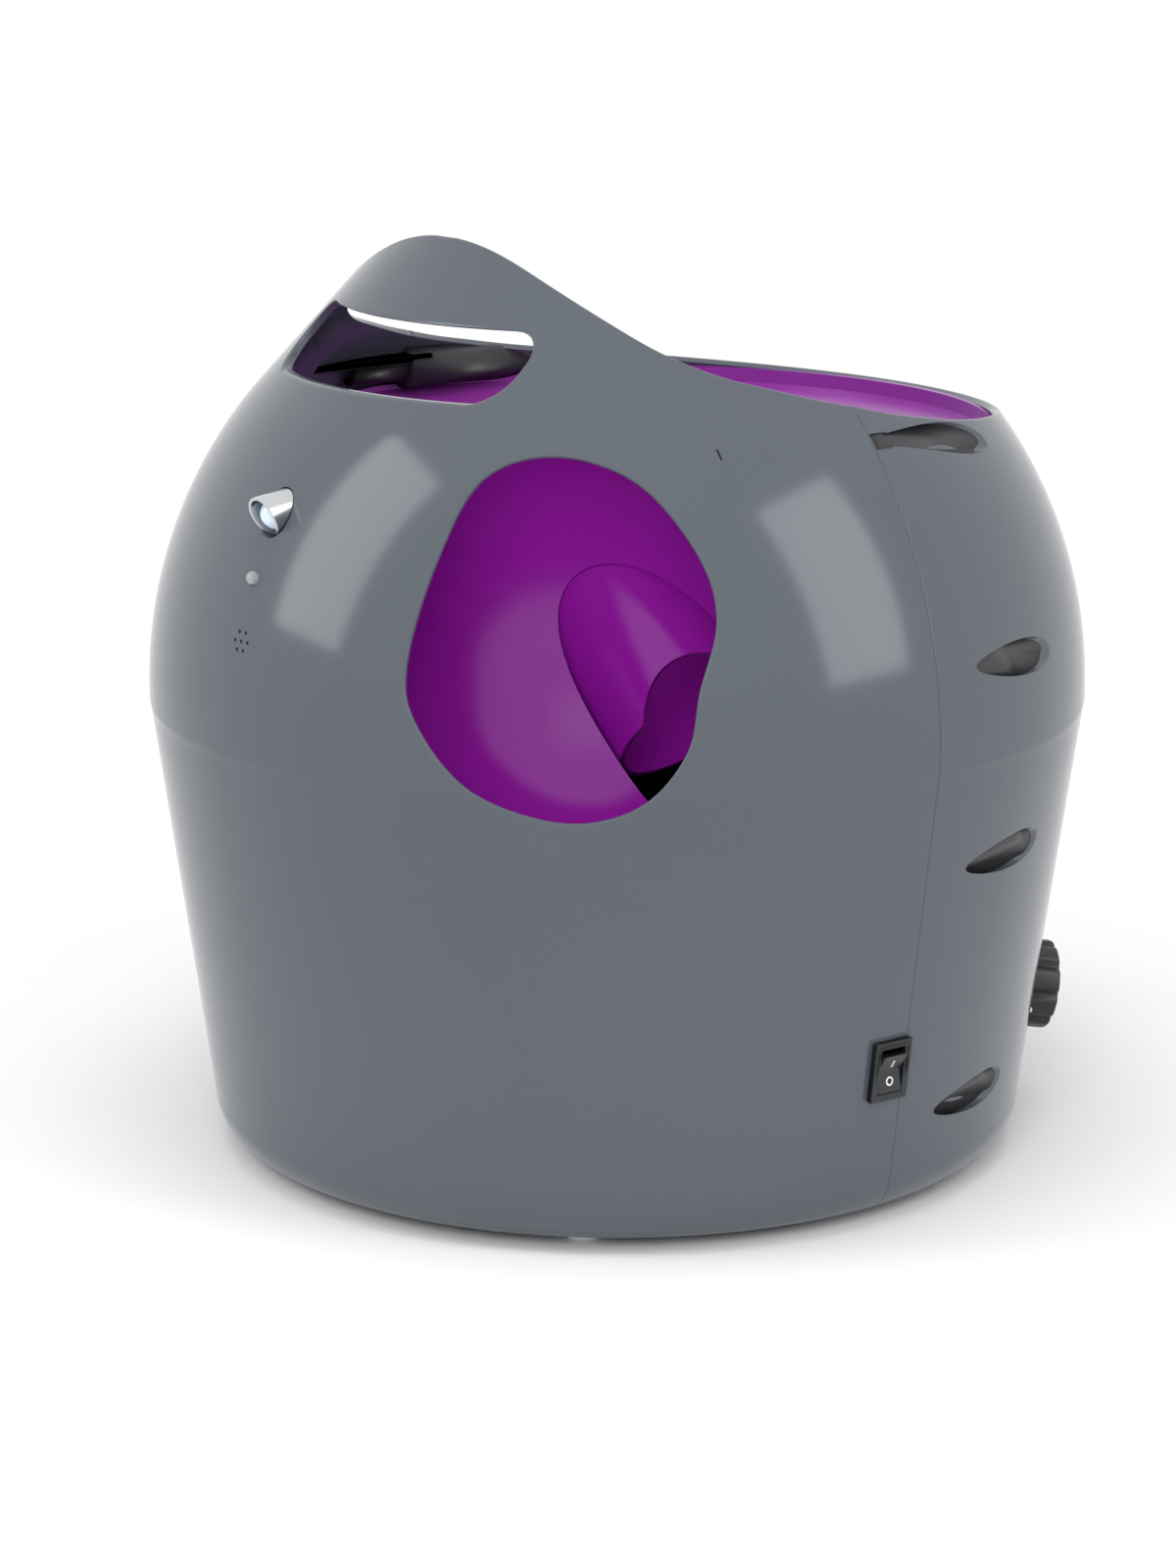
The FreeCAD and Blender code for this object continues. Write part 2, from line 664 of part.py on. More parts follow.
def make_angle_control():
    """Shaft along the tilt axis, its notched disc, and the leaf spring that holds it."""
    shaft = rod(PIVOT_R, pivot_point(DETENT_X), pivot_point(STUB_X))
    keep("angle_shaft", shaft)
    disc = rod(DETENT_R, pivot_point(DETENT_X), pivot_point(DETENT_X + DETENT_T))
    disc = disc.cut(rod(PIVOT_R, pivot_point(DETENT_X - 1), pivot_point(DETENT_X + DETENT_T + 1)))
    for k in range(DETENT_POSITIONS):
        turn = detent_turn(k)
        at = pivot_point(DETENT_X - 1) + Vector(0, DETENT_R * math.cos(turn), DETENT_R * math.sin(turn))
        disc = disc.cut(rod(NOTCH_R, at, at + Vector(DETENT_T + 2, 0, 0)))
    keep("angle_detent_disc", disc)
    leaf_y = BALL_SEAT.y + DETENT_R + 0.3
    x = BALL_SEAT.x + DETENT_X
    leaf = box(Vector(x, leaf_y, BALL_SEAT.z - 22), Vector(x + DETENT_T, leaf_y + 0.8, BALL_SEAT.z + 4))
    root = box(Vector(x, leaf_y, BALL_SEAT.z - 24),
               Vector(BALL_SEAT.x + STAND_X, leaf_y + 2.0, BALL_SEAT.z - 17))
    keep("detent_leaf", joined([leaf, root]))


def make_plunger():
    """Round striker head with its guide rod, and the rack that draws it back."""
    back = HEAD_FACE + HEAD_T
    head = rod(HEAD_R, Vector(0, HEAD_FACE, 0), Vector(0, back, 0))
    head = head.makeFillet(1.5, [head.Edges[0]])
    stem = rod(ROD_R, Vector(0, back - 1, 0), Vector(0, back + 20, 0))
    arm = box(Vector(-RACK_W / 2, back - 7, -RACK_DROP), Vector(RACK_W / 2, back, 0))
    keep("plunger", on_module(joined([head, stem, arm])))
    start = back - 7
    length = STROKE + 16
    low = -RACK_DROP - RACK_H
    rack = box(Vector(-RACK_W / 2, start, low), Vector(RACK_W / 2, start + length, -RACK_DROP))
    pitch = math.pi * MODULE
    gaps = []
    depth = 2.0 * MODULE
    first = math.ceil((start + 2 - DRIVE_Y) / pitch)
    last = math.floor((start + length - 2 - DRIVE_Y) / pitch)
    for k in range(first, last + 1):
        mid = DRIVE_Y + k * pitch
        corners = [Vector(-RACK_W, mid - 0.42 * pitch, low - 0.1),
                   Vector(-RACK_W, mid - 0.2 * pitch, low + depth),
                   Vector(-RACK_W, mid + 0.2 * pitch, low + depth),
                   Vector(-RACK_W, mid + 0.42 * pitch, low - 0.1)]
        outline = Part.makePolygon(corners + [corners[0]])
        gaps.append(Part.Face(outline).extrude(Vector(2 * RACK_W, 0, 0)))
    keep("plunger_rack", on_module(rack.cut(Part.makeCompound(gaps))))


def make_launch_spring():
    """Compression spring between the striker head and the tube's end cap.

    The wire is drawn with flats, in a section square to its slope that has the
    area of the round wire.
    """
    start = HEAD_FACE + HEAD_T + WIRE_R + 0.2
    end = TUBE_END - WIRE_R - 0.2
    pitch = (end - start) / COIL_TURNS
    path = Part.makeHelix(pitch, end - start, COIL_R)
    slope = math.atan2(pitch, 2 * math.pi * COIL_R)
    step = 2 * math.pi / WIRE_FLATS
    corner_r = WIRE_R * math.sqrt(step / math.sin(step))
    corners = []
    for k in range(WIRE_FLATS):
        out = corner_r * math.cos(k * step)
        up = corner_r * math.sin(k * step)
        corners.append(Vector(COIL_R + out, -up * math.sin(slope), up * math.cos(slope)))
    ring = Part.makePolygon(corners + [corners[0]])
    coil = Part.Wire(path.Edges).makePipeShell([ring], True, True)
    coil = Part.Solid(coil) if coil.ShapeType == "Shell" else coil
    coil.rotate(Vector(0, 0, 0), Vector(1, 0, 0), -90)
    coil.translate(Vector(0, start, 0))
    keep("launch_spring", on_module(coil))


def make_end_cap():
    """Disc that closes the plunger's tube and takes the spring's push."""
    cap = rod(TUBE_R + TUBE_WALL, Vector(0, TUBE_END, 0), Vector(0, TUBE_END + CAP_T, 0))
    keep("tube_end_cap", on_module(cap))


def make_gears():
    """Reduction from the motor to the part-toothed drive gear."""
    axis = Vector(1, 0, 0)
    middle_point = Vector(0, 0, 0)
    drive = gear(DRIVE_TEETH, RACK_W, SHAFT_R, DRIVE_SWEEP)
    drive.rotate(middle_point, axis, 90)
    keep("drive_gear", on_module(shifted(drive, 0, DRIVE_Y, DRIVE_Z)))
    big = gear(BIG_TEETH, FACE_W, SHAFT_R)
    big.rotate(middle_point, axis, (180 + math.degrees(SMALL_TURN)) % (360.0 / BIG_TEETH))
    keep("large_gear", on_module(shifted(big, BIG_X, DRIVE_Y, DRIVE_Z)))
    small = gear(SMALL_TEETH, FACE_W + 1.0, SHAFT_R)
    small = shifted(small, BIG_X - 0.5, 0, 0)
    middle = shifted(gear(MIDDLE_TEETH, FACE_W, SHAFT_R), MIDDLE_X, 0, 0)
    small.rotate(middle_point, axis, math.degrees(SMALL_TURN) + 180.0 / SMALL_TEETH)
    keep("compound_gear", on_module(shifted(joined([small, middle]), 0, SMALL_Y, SMALL_Z)))
    pinion = gear(MOTOR_TEETH, FACE_W, 1.0)
    pinion.rotate(middle_point, axis, 180.0 / MOTOR_TEETH)
    keep("motor_pinion", on_module(shifted(pinion, MIDDLE_X, MOTOR_Y, MOTOR_Z)))


def make_gear_shafts():
    """Shafts of the drive gear and of the compound gear."""
    left = INNER_PLATE_X
    right = OUTER_PLATE_X + PLATE_T
    drive = rod(SHAFT_R, Vector(left, DRIVE_Y, DRIVE_Z), Vector(right, DRIVE_Y, DRIVE_Z))
    keep("drive_shaft", on_module(drive))
    middle = rod(SHAFT_R, Vector(left, SMALL_Y, SMALL_Z), Vector(right, SMALL_Y, SMALL_Z))
    keep("compound_shaft", on_module(middle))


def plate_outline(x, thickness):
    """Flat gear plate that covers the three gear centres and reaches the tube."""
    discs = []
    for y, z, r in ((DRIVE_Y, DRIVE_Z, 8.0), (SMALL_Y, SMALL_Z, 8.0), (MOTOR_Y, MOTOR_Z, 11.0)):
        discs.append(rod(r, Vector(x, y, z), Vector(x + thickness, y, z)))
    spine = box(Vector(x, MOTOR_Y, SMALL_Z - 6), Vector(x + thickness, DRIVE_Y, SMALL_Z + 6))
    top = -(TUBE_R + TUBE_WALL - 0.8)
    tab = box(Vector(x, PAD_Y, SMALL_Z), Vector(x + thickness, PAD_Y + PAD_LENGTH, top))
    return joined(discs + [spine, tab])


def make_gear_plates():
    """The two plates that carry the shafts and the motor."""
    for name, x in (("gear_plate_inner", INNER_PLATE_X), ("gear_plate_outer", OUTER_PLATE_X)):
        plate = plate_outline(x, PLATE_T)
        for y, z, r in ((DRIVE_Y, DRIVE_Z, SHAFT_R + RUN), (SMALL_Y, SMALL_Z, SHAFT_R + RUN),
                        (MOTOR_Y, MOTOR_Z, 4.0)):
            plate = plate.cut(rod(r, Vector(x - 1, y, z), Vector(x + PLATE_T + 1, y, z)))
        keep(name, on_module(plate))


def make_motor():
    """Small direct-current motor on the inner gear plate, with its shaft."""
    face = INNER_PLATE_X
    can = rod(MOTOR_R, Vector(face - MOTOR_LENGTH, MOTOR_Y, MOTOR_Z), Vector(face, MOTOR_Y, MOTOR_Z))
    can = can.makeFillet(1.5, [can.Edges[0]])
    neck = rod(3.5, Vector(face - 0.5, MOTOR_Y, MOTOR_Z), Vector(face + PLATE_T, MOTOR_Y, MOTOR_Z))
    bore = rod(1.0 + RUN, Vector(face - 10, MOTOR_Y, MOTOR_Z), Vector(face + 10, MOTOR_Y, MOTOR_Z))
    keep("drive_motor", on_module(joined([can, neck]).cut(bore)))
    end = MIDDLE_X + FACE_W / 2
    shaft = rod(1.0, Vector(face - 8, MOTOR_Y, MOTOR_Z), Vector(end, MOTOR_Y, MOTOR_Z))
    keep("motor_shaft", on_module(shaft))


def make_pivot_stands():
    """Stand on the base for the inner pivot, and a wall bearing for the outer one."""
    low = BALL_SEAT + Vector(STAND_X, STAND_BACK, 0)
    low.z = BASE_TOP
    post = box(low, low + Vector(STAND_T, STAND_W, BALL_SEAT.z - BASE_TOP))
    foot = box(low - Vector(14, 0, 0), low + Vector(STAND_T, STAND_W, 4))
    head = rod(STAND_R, pivot_point(STAND_X), pivot_point(STAND_X + STAND_T))
    bore = rod(PIVOT_R + RUN, pivot_point(STAND_X - 1), pivot_point(STAND_X + STAND_T + 1))
    keep("pivot_stand", joined([post, foot, head]).cut(bore))
    x = BALL_SEAT.x + BEARING_X
    eye = rod(BEARING_R, pivot_point(BEARING_X), pivot_point(BEARING_X + BEARING_T))
    web = box(Vector(x, BALL_SEAT.y - BEARING_R, BALL_SEAT.z - BEARING_DROP),
              Vector(x + BEARING_T, BALL_SEAT.y + BEARING_R, BALL_SEAT.z))
    arm = box(Vector(x, BALL_SEAT.y - BEARING_R, BALL_SEAT.z - BEARING_DROP),
              Vector(BELT_R, BALL_SEAT.y + BEARING_R, BALL_SEAT.z - BEARING_DROP + 8))
    bore = rod(PIVOT_R + RUN, pivot_point(BEARING_X - 1), pivot_point(BEARING_X + BEARING_T + 1))
    keep("pivot_bearing", joined([eye, web, arm]).cut(bore).common(ROOM))


def make_base():
    """Base plate on the casing's ledge, with its screws and clear feet."""
    plate = rod(BASE_R, Vector(0, 0, FLOOR_Z), Vector(0, 0, BASE_TOP))
    door_low, door_high = door_corners()
    plate = plate.cut(box(door_low, door_high))
    screws = []
    for k in range(6):
        turn = math.radians(60 * k + 30)
        x = FOOT_AT_R * math.cos(turn)
        y = FOOT_AT_R * math.sin(turn)
        head = rod(3.5, Vector(x, y, BODY_Z - 2.0), Vector(x, y, BODY_Z))
        shank = rod(1.5, Vector(x, y, BODY_Z - 1), Vector(x, y, BASE_TOP))
        screws.append(joined([head, shank]))
        hole = rod(1.6, Vector(x, y, 0), Vector(x, y, BASE_TOP + 1))
        plate = plate.cut(hole)
        for name in ("front_shell", "rear_shell"):
            PARTS[name] = PARTS[name].cut(hole)
    keep("base_plate", plate)
    keep("base_screws", Part.makeCompound(screws))
    names = ("foot_right_rear", "foot_left_rear", "foot_left_front", "foot_right_front")
    for k, name in enumerate(names):
        turn = math.radians(90 * k + 45)
        at = Vector(FOOT_AT_R * math.cos(turn), FOOT_AT_R * math.sin(turn), 0)
        pad = rod(FOOT_R, at, at + Vector(0, 0, BODY_Z))
        pad = pad.makeFillet(1.2, [e for e in pad.Edges if e.CenterOfMass.z < 0.1])
        keep(name, pad)


def door_corners():
    """Corners of the battery door's hole in the base plate."""
    low = Vector(BOX_AT.x - BOX_HALF_X + DOOR_MARGIN, BOX_AT.y - BOX_HALF_Y + DOOR_MARGIN, FLOOR_Z - 1)
    high = Vector(BOX_AT.x + BOX_HALF_X - DOOR_MARGIN, BOX_AT.y + BOX_HALF_Y - DOOR_MARGIN, BASE_TOP + 1)
    return low, high


def make_battery_box():
    """Box over the base plate with six large cells, contacts and a screwed door."""
    low = Vector(BOX_AT.x - BOX_HALF_X - BOX_WALL, BOX_AT.y - BOX_HALF_Y - BOX_WALL, BASE_TOP)
    high = Vector(BOX_AT.x + BOX_HALF_X + BOX_WALL, BOX_AT.y + BOX_HALF_Y + BOX_WALL,
                  BOX_TOP + BOX_WALL)
    body = box(low, high)
    inset = Vector(BOX_WALL, BOX_WALL, 0)
    hollow = box(low + inset - Vector(0, 0, 1), Vector(high.x, high.y, BOX_TOP) - inset)
    keep("battery_box", body.cut(hollow))
    door_low, door_high = door_corners()
    gap = Vector(FIT, FIT, 0)
    door = box(Vector(door_low.x, door_low.y, FLOOR_Z) + gap,
               Vector(door_high.x, door_high.y, BASE_TOP) - gap)
    rim = Vector(DOOR_LIP, DOOR_LIP, 0)
    lip_low = Vector(door_low.x, door_low.y, FLOOR_Z - DOOR_LIP_T) - rim
    lip_high = Vector(door_high.x, door_high.y, FLOOR_Z) + rim
    door = joined([door, box(lip_low, lip_high)])
    screws = []
    for side in (-1, 1):
        at = Vector(BOX_AT.x, BOX_AT.y + side * (BOX_HALF_Y - DOOR_MARGIN + DOOR_LIP - 2.0), 0)
        seat = at + Vector(0, 0, FLOOR_Z - DOOR_LIP_T)
        head = rod(1.9, seat - Vector(0, 0, 0.8), seat)
        shank = rod(1.0, seat - Vector(0, 0, 0.4), at + Vector(0, 0, BASE_TOP))
        screws.append(joined([head, shank]))
        hole = rod(1.1, at, at + Vector(0, 0, BASE_TOP + 1))
        door = door.cut(hole)
        PARTS["base_plate"] = PARTS["base_plate"].cut(hole)
        PARTS["battery_box"] = PARTS["battery_box"].cut(hole)
    keep("battery_door", door)
    keep("door_screws", Part.makeCompound(screws))
    for column in range(CELLS_ACROSS):
        for row in range(2):
            x = BOX_AT.x + (column - 1) * CELL_PITCH
            z = BASE_TOP + CELL_R + 0.3
            sign = 1 if (column + row) % 2 else -1
            centre = BOX_AT.y + (row - 0.5) * (CELL_LENGTH + 3.0)
            start = Vector(x, centre - CELL_LENGTH / 2 * sign, z)
            neck = Vector(x, centre + (CELL_LENGTH / 2 - 1.5) * sign, z)
            end = Vector(x, centre + CELL_LENGTH / 2 * sign, z)
            cell = joined([rod(CELL_R, start, neck), rod(4.5, neck, end)])
            keep("battery_%d" % (2 * column + row + 1), cell)


def make_electronics():
    """Circuit board, speaker, lamp and motion sensor."""
    x, y = BOARD_AT.x, BOARD_AT.y
    half_x, half_y = BOARD_SIZE[0] / 2, BOARD_SIZE[1] / 2
    low_z = BASE_TOP + POST_H
    board = box(Vector(x - half_x, y - half_y, low_z), Vector(x + half_x, y + half_y, low_z + BOARD_T))
    keep("circuit_board", board.common(ROOM))
    posts = []
    for sx in (-1, 1):
        for sy in (-1, 1):
            at = Vector(x + sx * (half_x - 14), y + sy * (half_y - 6), BASE_TOP)
            posts.append(rod(3, at, at + Vector(0, 0, POST_H)))
    keep("board_posts", Part.makeCompound(posts))
    chips = []
    for dx, dy, w, d, h in ((-15, 5, 18, 12, 3), (12, -4, 10, 10, 2.5), (8, 12, 14, 6, 8)):
        low = Vector(x + dx, y + dy, low_z + BOARD_T)
        chips.append(box(low, low + Vector(w, d, h)))
    keep("board_chips", Part.makeCompound(chips))
    back = WALL + 1.0
    speaker = bar_out(14, back + 9, -back).fuse(bar_out(8, back + 14, -back))
    keep("speaker", on_wall(speaker, 0, SPEAKER_Z, SPEAKER_EL))
    hood = bar_out(SENSOR_R, 8, 7).cut(bar_out(SENSOR_R - 1.4, 9, 8))
    keep("sensor_hood", on_wall(hood, 0, SENSOR_Z, SENSOR_EL))
    lens = Part.makeSphere(SENSOR_R - 1.5, Vector(0, -3.0, 0))
    lens = lens.common(box(Vector(-9, -12, -9), Vector(9, -2.0, 9)))
    lens = lens.fuse(bar_out(SENSOR_R - 1.5, 6, 2.5))
    keep("sensor_lens", on_wall(lens.removeSplitter(), 0, SENSOR_Z, SENSOR_EL))
    plate = box(Vector(-8, 9.0, -9), Vector(8, 10.6, 6))
    keep("sensor_board", on_wall(plate, 0, SENSOR_Z, SENSOR_EL))
    lamp = bar_out(LED_R, 6, 0.6)
    dome = Part.makeSphere(LED_R, Vector(0, -0.6, 0))
    flange = bar_out(LED_R + 1.2, 5.5, -3.6)
    keep("status_lamp", on_wall(joined([lamp, dome, flange]), 0, LED_Z, LED_EL))


def make_power_switch():
    """Rocker switch: a framed body in the wall, and the rocker on its pin."""
    half_w = SWITCH_W / 2
    half_h = SWITCH_H / 2
    rim = SWITCH_RIM
    body = box(Vector(-half_w, -0.1, -half_h), Vector(half_w, SWITCH_DEPTH, half_h))
    frame = box(Vector(-half_w - SWITCH_LIP, -rim - SWITCH_LIP, -half_h - SWITCH_LIP),
                Vector(half_w + SWITCH_LIP, -0.1, half_h + SWITCH_LIP))
    inner_w = half_w - SWITCH_WALL
    inner_h = half_h - SWITCH_WALL
    hollow = box(Vector(-inner_w, -9, -inner_h), Vector(inner_w, 9, inner_h))
    switch = joined([body, frame]).cut(hollow)
    rocker = rocker_solid(inner_w - 0.25, inner_h - 1.0)
    pin_end = half_w - FIT
    pin = rod(PIN_R, Vector(-pin_end, ROCKER_PIN_Y, 0), Vector(pin_end, ROCKER_PIN_Y, 0))
    bore_end = pin_end + SNUG
    bore = rod(PIN_R + RUN, Vector(-bore_end, ROCKER_PIN_Y, 0), Vector(bore_end, ROCKER_PIN_Y, 0))
    keep("power_switch_body", on_wall(switch.cut(bore), SWITCH_AZ, SWITCH_Z, CONE_EL))
    rocker = joined([rocker, pin])
    rocker.rotate(Vector(0, ROCKER_PIN_Y, 0), Vector(1, 0, 0), ROCKER_THROW / 2)
    keep("power_rocker", on_wall(rocker, SWITCH_AZ, SWITCH_Z, CONE_EL))


def rocker_solid(side, half):
    """Shallow V-shaped rocker, before it is tipped."""
    inside = ROCKER_PIN_Y + 3.0
    corners = [Vector(-side, inside, 3.5), Vector(-side, -ROCKER_LIFT, half),
               Vector(-side, -1.0, 0), Vector(-side, -ROCKER_LIFT, -half),
               Vector(-side, inside, -3.5)]
    outline = Part.makePolygon(corners + [corners[0]])
    return Part.Face(outline).extrude(Vector(2 * side, 0, 0))


def make_rear_controls():
    """Distance dial on the back, its encoder inside, and the power inlet."""
    stem = rod(DIAL_STEM_R, Vector(0, 10, 0), Vector(0, -2, 0))
    dial = rod(DIAL_R, Vector(0, -1.2, 0), Vector(0, -1.2 - DIAL_H, 0))
    for k in range(GRIP_FLUTES):
        turn = 2 * math.pi * (k + 0.5) / GRIP_FLUTES
        x = (DIAL_R + 1) * math.cos(turn)
        z = (DIAL_R + 1) * math.sin(turn)
        dial = dial.cut(rod(GRIP_FLUTE_R, Vector(x, 0, z), Vector(x, -DIAL_H - 4, z)))
    mark = box(Vector(-0.8, -DIAL_H - 3, 6), Vector(0.8, -DIAL_H - 1, DIAL_R - 2))
    keep("distance_dial", on_wall(joined([stem, dial]).cut(mark), DIAL_AZ, DIAL_Z, CONE_EL))
    half = ENCODER_HALF
    encoder = box(Vector(-half, 4.4, -half), Vector(half, 13, half))
    encoder = encoder.cut(rod(DIAL_STEM_R + RUN, Vector(0, 4, 0), Vector(0, 10.5, 0)))
    keep("dial_encoder", on_wall(encoder, DIAL_AZ, DIAL_Z, CONE_EL))
    jack = bar_out(JACK_R, JACK_DEPTH, 0.5).fuse(bar_out(JACK_R + JACK_FLANGE, 0.8, 1.5))
    jack = jack.cut(bar_out(JACK_BORE_R, 9, 3))
    pin = bar_out(PIN_R, 10, 0)
    keep("power_inlet", on_wall(joined([jack, pin]), JACK_AZ, JACK_Z, 0))


def main():
    """Make every piece and write one file for each."""
    make_front_shell()
    make_rear_shell()
    make_shell_screws()
    make_hopper_funnel()
    make_feed_chute()
    make_launch_chamber()
    make_launch_barrel()
    make_angle_control()
    make_plunger()
    make_launch_spring()
    make_end_cap()
    make_gears()
    make_gear_shafts()
    make_gear_plates()
    make_motor()
    make_pivot_stands()
    make_base()
    make_battery_box()
    make_electronics()
    make_power_switch()
    make_rear_controls()
    os.makedirs("parts", exist_ok=True)
    for name, shape in PARTS.items():
        shape.exportStep("parts/%s.step" % name)
        print(name, len(shape.Solids), "solids", shape.isValid(), round(shape.Volume))


main()
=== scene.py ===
"""Looks of an automatic dog ball launcher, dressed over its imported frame.

Lengths in the classes are millimetres, and MM turns them into the metres of the
frame. Azimuth 0 is the front (-Y) and grows towards +X.
"""
import json
import logging
import math
from dataclasses import dataclass, field
from enum import Enum

import bpy
import numpy as np
from mathutils import Matrix, Vector
from mathutils.geometry import delaunay_2d_cdt


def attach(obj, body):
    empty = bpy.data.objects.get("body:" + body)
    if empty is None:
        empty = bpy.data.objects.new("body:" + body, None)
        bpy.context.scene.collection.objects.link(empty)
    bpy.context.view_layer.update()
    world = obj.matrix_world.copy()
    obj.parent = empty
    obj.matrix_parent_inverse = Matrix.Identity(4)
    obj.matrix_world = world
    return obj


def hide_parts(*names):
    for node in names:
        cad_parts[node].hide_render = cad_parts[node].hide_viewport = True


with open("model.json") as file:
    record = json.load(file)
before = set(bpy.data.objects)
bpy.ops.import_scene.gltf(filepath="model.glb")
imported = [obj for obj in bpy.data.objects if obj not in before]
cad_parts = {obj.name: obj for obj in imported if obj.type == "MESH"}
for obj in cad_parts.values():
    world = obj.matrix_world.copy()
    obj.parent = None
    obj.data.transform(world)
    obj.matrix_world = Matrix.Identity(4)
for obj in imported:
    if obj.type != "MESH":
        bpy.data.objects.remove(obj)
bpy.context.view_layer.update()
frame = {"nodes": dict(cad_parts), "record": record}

MM = 0.001
LOG = logging.getLogger("launcher")
Points = np.ndarray


class Body(Enum):
    """Bodies of the frame that visible pieces ride on."""

    CASING = "casing"
    ROCKER = "rocker"
    DIAL = "dial"


def unit(v: Points) -> Points:
    """Vectors scaled to length 1."""
    return v / np.maximum(np.linalg.norm(v, axis=-1, keepdims=True), 1e-12)


def direction(azimuth: float, elevation: float) -> Points:
    """Unit vector out of the casing at an angle from the front."""
    a, e = math.radians(azimuth), math.radians(elevation)
    return np.array([math.sin(a) * math.cos(e), -math.cos(a) * math.cos(e), math.sin(e)])


def wall_frame(azimuth: float, elevation: float, origin: Points) -> Matrix:
    """Matrix that puts a shape built to face -Y at a place on the casing.

    Args:
        azimuth: Angle from the front, in degrees.
        elevation: Upward tilt, in degrees.
        origin: Place in millimetres.

    Returns:
        A matrix for millimetre coordinates.
    """
    turn = Matrix.Rotation(math.radians(azimuth), 4, "Z")
    tilt = Matrix.Rotation(math.radians(-elevation), 4, "X")
    return Matrix.Translation(Vector(origin)) @ turn @ tilt


def on_wall(profile: "Profile", azimuth: float, height: float, tilt: float) -> Matrix:
    """Wall frame of a piece that sits on the casing's outside."""
    origin = direction(azimuth, 0) * float(profile.radius(height)) + np.array([0, 0, height])
    return wall_frame(azimuth, tilt, origin)


def moved(points: Points, matrix: Matrix) -> Points:
    """Points multiplied by a matrix."""
    m = np.array(matrix)
    return points @ m[:3, :3].T + m[:3, 3]


def spline(knots: Points, steps: int) -> Points:
    """Smooth curve from the second knot to the last but one, as a polyline."""
    out = []
    for a, b, c, d in zip(knots, knots[1:], knots[2:], knots[3:]):
        for t in np.linspace(0, 1, steps, endpoint=False):
            out.append(0.5 * (2 * b + (c - a) * t + (2 * a - 5 * b + 4 * c - d) * t * t
                              + (3 * b - a - 3 * c + d) * t ** 3))
    return np.array(out)


def closed_spline(points: list[tuple[float, float]], steps: int) -> Points:
    """Smooth closed curve through points, as a polyline."""
    p = np.array(points, float)
    return spline(np.concatenate([p[-1:], p, p[:2]]), steps)


def round_rectangle(width: float, height: float, corner: float, steps: int, gap: float) -> Points:
    """Closed outline of a rectangle with round corners, counter-clockwise."""
    hw, hh = width / 2 - corner, height / 2 - corner
    corners = []
    for k, (sx, sy) in enumerate(((1, 1), (-1, 1), (-1, -1), (1, -1))):
        for t in np.linspace(0, math.pi / 2, steps):
            turn = t + k * math.pi / 2
            corners.append((sx * hw + corner * math.cos(turn), sy * hh + corner * math.sin(turn)))
    return evened(np.array(corners), gap)


def evened(loop: Points, gap: float) -> Points:
    """A closed polyline with points added where they lie further apart than a gap."""
    out = []
    for p, q in zip(loop, np.roll(loop, -1, axis=0)):
        n = max(1, int(np.linalg.norm(q - p) / gap))
        out += [p + (q - p) * k / n for k in range(n)]
    return np.array(out)


def circle(radius: float, count: int) -> Points:
    """Points round a circle, counter-clockwise."""
    t = np.linspace(0, 2 * math.pi, count, endpoint=False)
    return np.stack([radius * np.cos(t), radius * np.sin(t)], 1)


def new_object(name: str, verts: Points, faces: list, material: bpy.types.Material,
               normals: Points | None = None, smooth: bool = True) -> bpy.types.Object:
    """Mesh object at the origin, from millimetre vertices.

    Args:
        name: Piece name.
        verts: Vertex places in millimetres.
        faces: Vertex numbers of each face.
        material: Its finish.
        normals: Exact vertex normals, where the shape has a formula for them.
        smooth: Whether faces are shaded smooth.

    Returns:
        The new object.
    """
    mesh = bpy.data.meshes.new(name)
    mesh.from_pydata((np.asarray(verts) * MM).tolist(), [], [list(map(int, f)) for f in faces])
    mesh.materials.append(material)
    if smooth:
        mesh.polygons.foreach_set("use_smooth", [True] * len(mesh.polygons))
    if normals is not None:
        mesh.normals_split_custom_set_from_vertices(unit(np.asarray(normals)).tolist())
    mesh.update()
    obj = bpy.data.objects.new(name, mesh)
    bpy.context.scene.collection.objects.link(obj)
    return obj


def baked(obj: bpy.types.Object) -> None:
    """Apply an object's modifiers to its mesh."""
    graph = bpy.context.evaluated_depsgraph_get()
    mesh = bpy.data.meshes.new_from_object(obj.evaluated_get(graph))
    obj.modifiers.clear()
    obj.data = mesh


def rounded(obj: bpy.types.Object, width: float, segments: int = 3, angle: float = 32.0) -> None:
    """Round an object's sharp edges, with its broad faces still shaded flat."""
    bevel = obj.modifiers.new("round", "BEVEL")
    bevel.width = width * MM
    bevel.segments = segments
    bevel.limit_method = "ANGLE"
    bevel.angle_limit = math.radians(angle)
    bevel.harden_normals = True
    baked(obj)


def place(obj: bpy.types.Object, body: Body, slot: str, *nodes: str) -> None:
    """Let a piece ride on a body and hide the CAD nodes it stands for."""
    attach(obj, body.value)
    if nodes:
        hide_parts(*nodes)
    LOG.info("%s: %d faces", obj.name, len(obj.data.polygons))


class Socket:
    """Shader value whose operators add Math nodes."""

    def __init__(self, kit: "NodeKit", link) -> None:
        """Wrap a node's output."""
        self.kit = kit
        self.link = link

    def _math(self, operation: str, a, b) -> "Socket":
        """Math node on two values."""
        return self.kit.add("ShaderNodeMath", {"operation": operation}, {0: a, 1: b})

    def __add__(self, other) -> "Socket":
        """Sum."""
        return self._math("ADD", self, other)

    __radd__ = __add__

    def __sub__(self, other) -> "Socket":
        """Difference."""
        return self._math("SUBTRACT", self, other)

    def __rsub__(self, other) -> "Socket":
        """Difference from a number."""
        return self._math("SUBTRACT", other, self)

    def __mul__(self, other) -> "Socket":
        """Product."""
        return self._math("MULTIPLY", self, other)

    __rmul__ = __mul__


